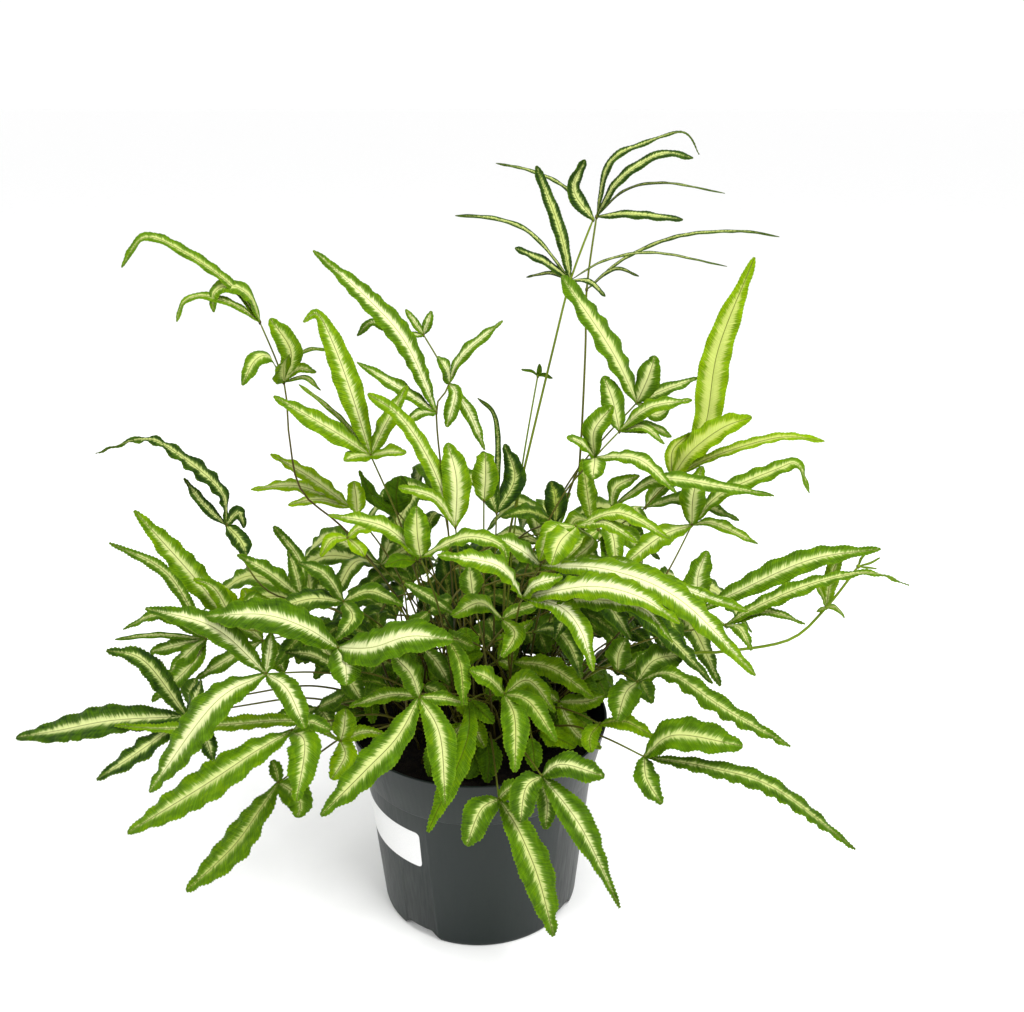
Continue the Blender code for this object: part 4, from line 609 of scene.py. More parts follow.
class Route:
    """A smooth curve through points, read by share of its length."""

    SAMPLES = 10

    def __init__(self, points):
        ends = [points[0] * 2 - points[1], *points, points[-1] * 2 - points[-2]]
        self.places = [points[0].copy()]
        for a, b, c, d in zip(ends, ends[1:], ends[2:], ends[3:]):
            for step in range(1, self.SAMPLES + 1):
                t = step / self.SAMPLES
                even = 2 * b + (c - a) * t
                bend = (2 * a - 5 * b + 4 * c - d) * t**2 + (3 * b - a - 3 * c + d) * t**3
                self.places.append((even + bend) / 2)
        self.lengths = [0.0]
        for a, b in zip(self.places, self.places[1:]):
            self.lengths.append(self.lengths[-1] + (b - a).length)
        self.length = self.lengths[-1]

    def at(self, share):
        """The place at this share of the curve's length."""
        wanted = min(max(share, 0), 1) * self.length
        for i in range(1, len(self.lengths)):
            if self.lengths[i] >= wanted:
                run = self.lengths[i] - self.lengths[i - 1]
                part = (wanted - self.lengths[i - 1]) / run
                return self.places[i - 1].lerp(self.places[i], part)
        return self.places[-1].copy()

    def heading(self, share):
        """The curve's direction at this share of its length."""
        return (self.at(share + HEADING_STEP) - self.at(share - HEADING_STEP)).normalized()


def across(vector, heading):
    """The part of vector square to heading, at length 1."""
    return (vector - heading * vector.dot(heading)).normalized()


def blade_frames(route, shares):
    """The upper side's direction at each share: set at the middle, then carried both ways untwisted."""
    headings = [route.heading(share) for share in shares]
    middle = len(shares) // 2
    uppers = [None] * len(shares)
    uppers[middle] = across(SKY, headings[middle])
    for i in range(middle + 1, len(shares)):
        uppers[i] = across(uppers[i - 1], headings[i])
    for i in range(middle - 1, -1, -1):
        uppers[i] = across(uppers[i + 1], headings[i])
    return headings, uppers


def blade(leaflet, route, grow=0):
    """Corners and triangles of a blade with a lens section, waved at its edges and grown by grow."""
    outline = OUTLINES[leaflet.kind]
    if route.length < TINY_LEAFLET:
        outline = TINY_OUTLINE
    elif route.length < SHORT_LEAFLET:
        outline = SHORT_OUTLINE
    shares = [share for share, _ in outline]
    headings, uppers = blade_frames(route, shares)
    corners = []
    for i, (share, width_share) in enumerate(outline[:-1]):
        centre, upper = route.at(share), uppers[i]
        side = upper.cross(headings[i])
        half = max(leaflet.width * MM / 2 * width_share, LEAST_HALF_WIDTH) + grow
        lift = half * math.sin(FOLD)
        wave = WAVE * (-1) ** i * width_share
        thick = HALF_THICKNESS * (1 - TIP_THINNING * share) + grow
        corners += [
            centre - side * half + upper * (lift + wave),
            centre + upper * thick,
            centre + side * half + upper * (lift - wave),
            centre - upper * thick,
        ]
    corners.append(route.at(1) + headings[-1] * grow)
    faces = [(0, 1, 2, 3)]
    rings = len(outline) - 1
    for ring in range(rings - 1):
        a, b = ring * 4, ring * 4 + 4
        for edge, middle in ((0, 1), (2, 1), (2, 3), (0, 3)):
            faces.append((a + edge, b + edge, b + middle))
            faces.append((a + edge, b + middle, a + middle))
    last = (rings - 1) * 4
    for i in range(4):
        faces.append((last + i, last + (i + 1) % 4, last + 4))
    return corners, faces


def pot_radius(height):
    """The pot's outer radius at this height."""
    if height >= BAND_FOOT:
        share = (height - BAND_FOOT) / BAND_HEIGHT
        return BAND_FOOT_RADIUS + (RIM_RADIUS - BAND_FOOT_RADIUS) * share
    return BASE_RADIUS + (WALL_TOP_RADIUS - BASE_RADIUS) * height / BAND_FOOT


def clear_of_pot(corners):
    """Whether all corners lie above the floor and clear of the pot and the soil."""
    for corner in corners:
        if corner.z < POT_CLEARANCE:
            return False
        if corner.z < POT_HEIGHT + POT_CLEARANCE:
            radius = math.hypot(corner.x, corner.y)
            outside = radius > pot_radius(corner.z) + POT_CLEARANCE
            inside = radius < pot_radius(corner.z) - WALL - POT_CLEARANCE
            if not (outside or inside and corner.z > SOIL_CROWN + POT_CLEARANCE / 2):
                return False
    return True


def feet_of(fronds):
    """Where each stalk leaves the soil: on its hub's side of the middle, spread to FOOT_SPACING."""
    feet = []
    for frond in fronds:
        target = Vector(frond.hubs[0].place[:2]) * MM
        angle = math.atan2(target.y, target.x)
        radius = NEAREST_FOOT + FOOT_LEAN * target.length
        for attempt in range(FOOT_TRIES):
            turned_by = angle + FOOT_TURN * attempt * (-1) ** attempt
            stretched = min(radius + FOOT_STEP * attempt, FARTHEST_FOOT)
            foot = Vector((stretched * math.cos(turned_by), stretched * math.sin(turned_by)))
            if all((foot - other).length > FOOT_SPACING for other in feet):
                break
        feet.append(foot)
    return feet


def stalk_points(foot, frond, shift, raised):
    """The stalk's route: straight up out of its hole to a neck, then through its middle to its hubs."""
    bottom = Vector((foot.x, foot.y, SOIL_TOP - HOLE_DEPTH + GAP))
    surface = Vector((foot.x, foot.y, SOIL_CROWN))
    neck = Vector((foot.x, foot.y, SOIL_CROWN + NECK_HEIGHT))
    places = [Vector(part.place) * MM for part in frond.hubs]
    run = places[0] - neck
    flat = Vector((run.x, run.y, 0))
    middle = neck + flat * STALK_MIDDLE + shift
    middle.z += run.z * STALK_RISE + flat.length * STALK_ARCH + raised
    return [bottom, surface, neck, middle, *places]


def over_the_rim(route):
    """Whether a stalk passes well above the pot's rim."""
    return all(
        place.z > POT_HEIGHT + RIM_CLEARANCE
        for place in route.places
        if abs(math.hypot(place.x, place.y) - RIM_RADIUS) < RIM_CLEARANCE + WALL
    )


def raised_route(foot, frond, shift):
    """The stalk's route with its middle raised until it passes over the rim."""
    raised = 0
    route = Route(stalk_points(foot, frond, shift, raised))
    while not over_the_rim(route) and raised < MOST_RAISED:
        raised += RIM_STEP
        route = Route(stalk_points(foot, frond, shift, raised))
    return route


def hub_shares(route, count):
    """The shares of a stalk's length where its hubs lie: its route's last points."""
    last = len(route.places) - 1
    ends = [last - Route.SAMPLES * (count - 1 - i) for i in range(count)]
    return [route.lengths[end] / route.length for end in ends]


def stalk_line(route, count):
    """The stalk's corners, each with its radius as a share of the foot's, wider at each hub."""
    beads = hub_shares(route, count)
    neck = route.lengths[2 * Route.SAMPLES] / route.length
    even = [neck + (1 - neck) * i / STALK_SEGMENTS for i in range(STALK_SEGMENTS + 1)]
    line = []
    for share in sorted({0, *even, *beads}):
        size = 1 - (1 - STALK_TIP_SHARE) * share
        if share in beads:
            line.append((route.at(share), size * BEAD_SHARE))
        elif min(abs(share - bead) for bead in beads) > HUB_SPACING:
            line.append((route.at(share), size))
    line.append((route.at(1) + route.heading(1) * BEAD_LENGTH, STALK_TIP_SHARE))
    return line


def places_along(line):
    """Places close together on the straight runs between a stalk's corners."""
    return [
        a.lerp(b, i / RUN_CHECKS)
        for (a, _), (b, _) in zip(line, line[1:])
        for i in range(RUN_CHECKS + 1)
    ]


def stalk_lines(fronds):
    """Each frond's stalk, its middle moved aside until it is clear of the stalks before it."""
    lines = []
    taken = []
    for frond, foot in zip(fronds, feet_of(fronds)):
        tree = KDTree(max(len(taken), 1))
        for index, place in enumerate(taken):
            tree.insert(place, index)
        tree.balance()
        best, best_gap = None, -1
        for attempt in range(STALK_TRIES):
            angle = GOLDEN_TURN * attempt
            shift = Vector((math.cos(angle), math.sin(angle), STALK_LIFT)) * STALK_STEP * attempt
            line = stalk_line(raised_route(foot, frond, shift), len(frond.hubs))
            gap = math.inf
            if taken:
                gap = min(tree.find(place)[2] for place in places_along(line))
            if gap > best_gap:
                best, best_gap = line, gap
            if gap > STALK_CLEARANCE:
                break
        lines.append(best)
        taken += places_along(best)
    return lines


def stalk_mesh(line):
    """A four-sided tube along a stalk's corners."""
    data = bpy.data.curves.new("stalk", "CURVE")
    data.dimensions = "3D"
    data.bevel_depth = STALK_RADIUS
    data.bevel_resolution = 0
    data.use_fill_caps = True
    run = data.splines.new("POLY")
    run.points.add(len(line) - 1)
    for point, (place, size) in zip(run.points, line):
        point.co = (*place, 1)
        point.radius = size
    guide = bpy.data.objects.new("stalk", data)
    bpy.context.scene.collection.objects.link(guide)
    graph = bpy.context.evaluated_depsgraph_get()
    mesh = bpy.data.meshes.new_from_object(guide.evaluated_get(graph))
    bpy.data.objects.remove(guide)
    bpy.data.curves.remove(data)
    shape = bmesh.new()
    shape.from_mesh(mesh)
    bmesh.ops.remove_doubles(shape, verts=shape.verts, dist=MERGE_DISTANCE)
    bmesh.ops.recalc_face_normals(shape, faces=shape.faces)
    shape.to_mesh(mesh)
    shape.free()
    return mesh


class Obstacle:
    """A solid that later blades keep clear of."""

    def __init__(self, frond, corners, faces):
        self.frond = frond
        self.tree = BVHTree.FromPolygons(corners, faces)
        self.low = [min(c[i] for c in corners) for i in range(3)]
        self.high = [max(c[i] for c in corners) for i in range(3)]

    def meets(self, other):
        """Whether the two solids' surfaces cross."""
        for i in range(3):
            if self.low[i] > other.high[i] or self.high[i] < other.low[i]:
                return False
        return bool(self.tree.overlap(other.tree))


def bent_points(leaflet, place, bend, share):
    """The leaflet's midline from place, shortened to share and bent about it by bend degrees."""
    points = [Vector(point) * MM * share for point in leaflet.points]
    axis = SIGHT.cross(points[-1])
    turn = Matrix.Rotation(math.radians(bend), 3, axis)
    return [place, *(place + turn @ point for point in points)]


def fitted_leaflet(frond, leaflet, place, obstacles):
    """The first of the leaflet's bent forms that is clear of the pot and the obstacles, or None."""
    for share in SHARES_OF_LENGTH:
        for bend in BENDS:
            route = Route(bent_points(leaflet, place, bend, share))
            corners, faces = blade(leaflet, route, grow=BLADE_CLEARANCE)
            if not clear_of_pot(corners):
                continue
            form = Obstacle(frond, corners, faces)
            others = (other for other in obstacles if other.frond != frond)
            if not any(form.meets(other) for other in others):
                return route, form
    return None


def grown_fronds(fronds, obstacles):
    """For each frond its stalk's corners and its fitted leaflets, as (leaflet, route) pairs."""
    lines = stalk_lines(fronds)
    meshes = [stalk_mesh(line) for line in lines]
    for index, mesh in enumerate(meshes):
        corners = [vertex.co.copy() for vertex in mesh.vertices]
        obstacles.append(Obstacle(index, corners, [tuple(face.vertices) for face in mesh.polygons]))
    grown = []
    for index, frond in enumerate(fronds):
        kept = []
        for part in frond.hubs:
            place = Vector(part.place) * MM
            for leaflet in part.leaflets:
                fitted = fitted_leaflet(index, leaflet, place, obstacles)
                if fitted:
                    kept.append((leaflet, fitted[0]))
                    obstacles.append(fitted[1])
        grown.append((lines[index], kept))
    return grown


# Fine blades
TOOTH_PITCH = 0.0022
TOOTH_STEPS = 3
PLAIN_STEPS = 2
FEWEST_TEETH = 4
TOOTH_HEIGHT = 0.00042
TOOTH_SIZES = ((0.14, 0.25), (2, 0.7))
TOOTH_START = 12
TOOTHED_WIDTH = 7
FEWEST_ROWS = 14
PROFILE_SAMPLES = 241
PROFILE_WINDOW = 49
RIB_HALF_WIDTH = 0.0004
MOST_RIB_SHARE = 0.22
RIB_DEPTH = 0.00022
BLADE_FOLDS = (9, 24)
BLADE_DROOPS = (0.35, 1.15)
DROOP_POWER = 1.3
RUFFLE_PITCH = (0.010, 0.018)
MOST_RUFFLE = 0.0013
RUFFLE_SHARE = 0.19
RUFFLE_SWAY = (0.3, 0.9)
SWAY_PITCH = 0.37
RUFFLE_POWER = 1.7
SCALLOP_SHARE = 0.28
SCALLOP_LAG = (0.8, 2.2)
SPREAD = 0.985
TIP_BLUNTNESS = {"lance": 0.34, "oval": 0.46, "strap": 0.66, "tail": 0.16}
TIP_ROUNDING = 0.08
TIP_START = 0.7
LEAST_FINE_HALF_WIDTH = 0.00035
FINE_HALF_THICKNESS = 0.0002
LEAF_EDGE_ANGLE = math.radians(62)
LEAF_SEED = 5
LOOK_SPREAD = 0.08
BAND_SPREAD = (0.88, 1.12)

# A row of corners across a blade: shares of the half width on the top, from the midrib out, and
# underneath, then every corner's height in half thicknesses, and which corner is in the midrib's groove
TOP_SHARES = (0.3, 0.56, 0.8, 1)
UNDER_SHARES = (0.5, 0, -0.5)
HEIGHTS = (0, 1, 1, 1, 1, 1, 1, 1, 1, 1, 0, -1, -1.6, -1)
MIDRIB = 5

# What the materials read at each corner: the first column of each mark and how many it has
MARKS = {"leaf_place": (0, 3), "leaf_look": (3, 3), "leaf_share": (6, 1), "leaf_seed": (7, 1)}
MARK_COUNT = 8

# Added stalks: how often each is moved aside, in wider steps, before its frond is left out
INNER_TRIES = 17
YOUNG_TRIES = 12
ADDED_STEP = 1.3
FORM_SIDES = 4
TUBE_SIDE = Vector((0.31, 0.83, 0.46))

# Fine stalks
STALK_FOOT_RADIUS = 0.0008
STALK_TIP_RADIUS = 0.0005
STALK_END_SHARE = 0.6
STALK_SIDES = 7
STALK_ROWS = 36
KNOT_SIDES = 8
KNOT = (
    # height over the hub, radius
    (-0.0016, 0.0003),
    (-0.0008, 0.0008),
    (0, 0.0009),
    (0.0009, 0.0007),
    (0.0015, 0.0003),
)

# How stout a stalk is, and how green: 0 is dark brown and 1 is fresh green
STALKS = {
    "frond_right_6": (1.6, 1),
    "frond_tall_1": (1.25, 0.6),
    "frond_tall_2": (1.2, 0.2),
    "frond_middle_8": (1, 0.8),
    "frond_high_left_1": (1, 0),
    "frond_right_7": (1, 0),
}
PLAIN_STALK = (1, 0.12)


def headings_along(places):
    """The direction at each place, from the places before and after it."""
    befores, afters = [places[0], *places], [*places[1:], places[-1]]
    return [(after - before).normalized() for before, after in zip(befores, afters)]


def ring(place, heading, upper, radius, sides):
    """Corners of a ring round a place."""
    side = upper.cross(heading)
    angles = [FULL_TURN * k / sides for k in range(sides)]
    return [place + (side * math.cos(angle) + upper * math.sin(angle)) * radius for angle in angles]


def ring_faces(rows, wide):
    """Quads between rings of corners that follow each other."""
    return [
        (row + i, row + (i + 1) % wide, row + wide + (i + 1) % wide, row + wide + i)
        for row in range(0, (rows - 1) * wide, wide)
        for i in range(wide)
    ]


def end_rings(rows, wide):
    """The first and the last ring, as caps."""
    last = (rows - 1) * wide
    return [*range(wide)], [*range(last, last + wide)]


def tube_form(frond, places):
    """A coarse tube along a stalk, to test against other forms."""
    corners = []
    for place, heading in zip(places, headings_along(places)):
        corners += ring(place, heading, across(TUBE_SIDE, heading), STALK_FOOT_RADIUS, FORM_SIDES)
    return Obstacle(frond, corners, ring_faces(len(places), FORM_SIDES))


def inside(form, low, high):
    """Whether a form lies inside the box from low to high."""
    return all(low[i] <= form.low[i] and form.high[i] <= high[i] for i in range(3))


def added_fronds(fronds, added, obstacles, low, high):
    """Each added frond's stalk and leaflets, grown last, inside the box and clear of what stands."""
    feet = feet_of([*fronds, *added])[len(fronds) :]
    grown = []
    for index, (frond, foot) in enumerate(zip(added, feet), start=len(fronds)):
        line, kept = None, []
        for attempt in range(INNER_TRIES if frond.name.startswith("inner") else YOUNG_TRIES):
            angle = GOLDEN_TURN * attempt
            aside = Vector((math.cos(angle), math.sin(angle), STALK_LIFT))
            shift = aside * STALK_STEP * ADDED_STEP * attempt
            trial = stalk_line(raised_route(foot, frond, shift), len(frond.hubs))
            form = tube_form(index, [place for place, _ in trial])
            if not any(form.meets(other) for other in obstacles):
                line = trial
                obstacles.append(form)
                break
        for part in frond.hubs if line else ():
            place = Vector(part.place) * MM
            for leaflet in part.leaflets:
                fitted = fitted_leaflet(index, leaflet, place, obstacles)
                if fitted and inside(fitted[1], low, high):
                    kept.append((leaflet, fitted[0]))
                    obstacles.append(fitted[1])
        grown.append((line, kept))
    return grown


def smooth_profile(kind, count):
    """The half width at count even shares of the length, from the kind's outline with soft corners."""
    shares, widths = zip(*OUTLINES[kind])
    even = np.linspace(0, 1, PROFILE_SAMPLES)
    fine = np.interp(even, shares, widths)
    window = np.hanning(PROFILE_WINDOW)
    pad = PROFILE_WINDOW // 2
    padded = np.concatenate([np.full(pad, fine[0]), fine, -fine[-2 : -2 - pad : -1]])
    soft = np.convolve(padded, window / window.sum(), "valid")
    return np.interp(np.linspace(0, 1, count), even, soft)


def fine_blade(leaflet, route, look, draw):
    """One leaflet: a thin closed blade with a grooved midrib and ruffled, toothed margins."""
    toothed = leaflet.width >= TOOTHED_WIDTH
    teeth = max(round(route.length / TOOTH_PITCH), FEWEST_TEETH)
    rows = max(teeth * (TOOTH_STEPS if toothed else PLAIN_STEPS), FEWEST_ROWS)
    even = [i / (rows - 1) for i in range(rows)]
    headings, uppers = map(np.array, blade_frames(route, even))
    places = np.array([route.at(share) for share in even])
    sides = np.cross(uppers, headings)
    shares = np.array(even)
    along = shares * route.length
    widest = leaflet.width * MM / 2
    tip = np.sqrt(np.clip((1 - shares) / TIP_ROUNDING, 0, 1)) * (shares > TIP_START)
    half = np.maximum(smooth_profile(leaflet.kind, rows), TIP_BLUNTNESS[leaflet.kind] * tip) * widest
    half = np.maximum(half, LEAST_FINE_HALF_WIDTH)

    fold = math.tan(math.radians(draw.uniform(*BLADE_FOLDS)))
    droop = fold * draw.uniform(*BLADE_DROOPS)
    swell = min(MOST_RUFFLE, RUFFLE_SHARE * widest) * look.ruffle * np.sin(np.pi * shares.clip(0, 1)) ** 0.5
    ruffles, scallops = [], []
    for _ in range(2):
        pitch = draw.uniform(*RUFFLE_PITCH)
        start = draw.uniform(0, FULL_TURN)
        sway = draw.uniform(*RUFFLE_SWAY)
        turn = FULL_TURN * along / pitch + start
        turn = turn + sway * np.sin(turn * SWAY_PITCH + start)
        ruffles.append((swell * np.sin(turn))[:, None])
        scallops.append((SCALLOP_SHARE * swell * np.sin(turn + draw.uniform(*SCALLOP_LAG)))[:, None])
    tooth = np.zeros(rows)
    if toothed:
        size = TOOTH_HEIGHT * np.interp(places[0][2], *TOOTH_SIZES)
        tooth = size * (np.arange(rows) % TOOTH_STEPS) / (TOOTH_STEPS - 1)
        tooth = tooth * np.clip(shares * TOOTH_START, 0, 1)

    # Each row runs over the top from margin to margin, then back underneath
    rib = np.minimum(RIB_HALF_WIDTH / half, MOST_RIB_SHARE)
    row = (*(-share for share in TOP_SHARES[::-1]), -rib, 0, rib, *TOP_SHARES, *UNDER_SHARES)
    spread = np.stack([share * np.ones(rows) for share in row], 1)
    size = np.abs(spread)
    reach = size * half[:, None] + (size == 1) * tooth[:, None]
    reach = reach + np.where(spread < 0, *scallops) * size**2
    lift = reach * (fold - droop * size**DROOP_POWER) + np.where(spread < 0, *ruffles) * size**RUFFLE_POWER
    lift += FINE_HALF_THICKNESS * (1 - TIP_THINNING * shares)[:, None] * HEIGHTS
    lift[:, MIDRIB] -= RIB_DEPTH
    out = np.sign(spread) * reach
    corners = places[:, None] + sides[:, None] * (out * SPREAD)[..., None] + uppers[:, None] * lift[..., None]

    marks = np.zeros((rows, len(row), MARK_COUNT))
    marks[..., 0] = out / MM
    marks[..., 1] = along[:, None] / MM
    marks[..., 2] = half[:, None] / MM
    marks[..., 3:6] = look[:3]
    marks[..., 6] = shares[:, None]
    marks[..., 7] = draw.random()
    first, last = end_rings(rows, len(row))
    faces = [*ring_faces(rows, len(row)), first[::-1], last]
    return corners.reshape(-1, 3), faces, marks.reshape(-1, MARK_COUNT)


def fine_tube(places, radii, sides, green):
    """A closed round tube through places with a radius at each."""
    headings = headings_along(places)
    upper = across(TUBE_SIDE, headings[0])
    corners = []
    for place, heading, radius in zip(places, headings, radii):
        upper = across(upper, heading)
        corners += ring(place, heading, upper, radius, sides)
    first, last = end_rings(len(places), sides)
    faces = [*((a, d, c, b) for a, b, c, d in ring_faces(len(places), sides)), first, last[::-1]]
    runs = [0, *((b - a).length for a, b in zip(places, places[1:]))]
    along = np.repeat(np.cumsum(runs), sides)
    marks = np.zeros((len(corners), MARK_COUNT))
    marks[:, 1] = along / MM
    marks[:, 2] = radii[0] / MM
    marks[:, 3] = green
    marks[:, 6] = along / along[-1]
    return np.array(corners), faces, marks


def fine_stalk(line, hubs, stoutness, green):
    """A frond's stalk, a smooth thin tube through its corners, and a slight knot at each hub."""
    route = Route([place for place, _ in line])
    shares = [i / (STALK_ROWS - 1) for i in range(STALK_ROWS)]
    slimming = STALK_TIP_RADIUS - STALK_FOOT_RADIUS
    radii = [(STALK_FOOT_RADIUS + slimming * share) * stoutness for share in shares]
    radii[-1] *= STALK_END_SHARE
    tubes = [fine_tube([route.at(share) for share in shares], radii, STALK_SIDES, green)]
    for part in hubs:
        if part.leaflets:
            places = [Vector(part.place) * MM + Vector((0, 0, height)) for height, _ in KNOT]
            radii = [radius * max(stoutness, 1) for _, radius in KNOT]
            tubes.append(fine_tube(places, radii, KNOT_SIDES, green))
    return tubes


def linked(name, data):
    """A new object in the scene."""
    made = bpy.data.objects.new(name, data)
    bpy.context.scene.collection.objects.link(made)
    return made


def smooth_object(name, corners, faces, finishes, edge_angle):
    """A new object, shaded smooth except at edges sharper than edge_angle."""
    mesh = bpy.data.meshes.new(name)
    mesh.from_pydata(corners, [], faces)
    for finish in finishes:
        mesh.materials.append(finish)
    mesh.shade_smooth()
    mesh.set_sharp_from_angle(angle=edge_angle)
    return linked(name, mesh)


def frond_object(name, tubes, blades, finishes):
    """One object from a frond's blades and tubes, with their marks."""
    parts = [*tubes, *blades]
    starts = accumulate((len(corners) for corners, _, _ in parts), initial=0)
    faces = [tuple(start + i for i in face) for start, part in zip(starts, parts) for face in part[1]]
    corners = np.concatenate([corners for corners, _, _ in parts]).tolist()
    made = smooth_object(name, corners, faces, finishes, LEAF_EDGE_ANGLE)
    tube_faces = sum(len(tube[1]) for tube in tubes)
    indices = [1] * tube_faces + [0] * (len(faces) - tube_faces)
    made.data.polygons.foreach_set("material_index", indices)
    marks = np.concatenate([marks for _, _, marks in parts]).astype(np.float32)
    for mark, (first, width) in MARKS.items():
        kind, key = ("FLOAT", "value") if width == 1 else ("FLOAT_VECTOR", "vector")
        values = marks[:, first : first + width].ravel()
        made.data.attributes.new(mark, kind, "POINT").data.foreach_set(key, values)
    return made


# Materials
LEAF_SHARE = 0.6


def linear(*colour):
    """A colour given from 0 to 255 as a screen shows it, in linear light."""
    shares = [channel / 255 for channel in colour]
    return tuple(c / 12.92 if c <= 0.04045 else ((c + 0.055) / 1.055) ** 2.4 for c in shares)


def leafy(*colour):
    """A leaf's own colour, from how it shows under the studio's bright light."""
    return tuple(channel * LEAF_SHARE for channel in linear(*colour))


class Nodes:
    """A material's node tree, with a short call for each kind of node."""

    def __init__(self, name):
        self.material = bpy.data.materials.new(name)
        self.material.use_nodes = True
        self.tree = self.material.node_tree

    def feed(self, inputs, values):
        """Link or set these inputs."""
        for key, value in values.items():
            if isinstance(value, bpy.types.NodeSocket):
                self.tree.links.new(value, inputs[key])
            elif value is not None:
                inputs[key].default_value = (*value, 1) if isinstance(value, tuple) else value

    def new(self, kind, values, **settings):
        """The outputs of a new node of this kind."""
        node = self.tree.nodes.new("ShaderNode" + kind)
        for name, setting in settings.items():
            setattr(node, name, setting)
        self.feed(node.inputs, values)
        return node.outputs

    def math(self, operation, *values):
        return self.new("Math", dict(enumerate(values)), operation=operation)[0]

    add = partialmethod(math, "ADD")
    less = partialmethod(math, "SUBTRACT")
    times = partialmethod(math, "MULTIPLY")
    over = partialmethod(math, "DIVIDE")
    times_add = partialmethod(math, "MULTIPLY_ADD")

    def attribute(self, name, output="Fac"):
        return self.new("Attribute", {}, attribute_name=name)[output]

    def split(self, vector):
        return self.new("SeparateXYZ", {0: vector})[:3]

    def join(self, *values):
        return self.new("CombineXYZ", dict(enumerate(values)))[0]

    def noise(self, vector, scale, detail, roughness=0.5, w=None):
        values = {"Vector": vector, "W": w, "Scale": scale, "Detail": detail, "Roughness": roughness}
        return self.new("TexNoise", values, noise_dimensions="3D" if w is None else "1D")["Fac"]

    def coordinates(self):
        return self.new("TexCoord", {})["Object"]

    def ramp(self, value, low, high, to_low=0.0, to_high=1.0, kind="SMOOTHSTEP"):
        values = dict(enumerate((value, low, high, to_low, to_high)))
        return self.new("MapRange", values, interpolation_type=kind)[0]

    def mix(self, share, first, second, blend="MIX"):
        values = {0: share, 6: first, 7: second}
        return self.new("Mix", values, data_type="RGBA", blend_type=blend)[2]

    def bump(self, height, distance):
        return self.new("Bump", {"Strength": 1.0, "Distance": distance, "Height": height})[0]

    def finish(self, colour, roughness, normal=None, specular=0.5):
        values = {"Base Color": colour, "Roughness": roughness, "Specular IOR Level": specular}
        self.feed(self.tree.nodes["Principled BSDF"].inputs, {**values, "Normal": normal})
        return self.material


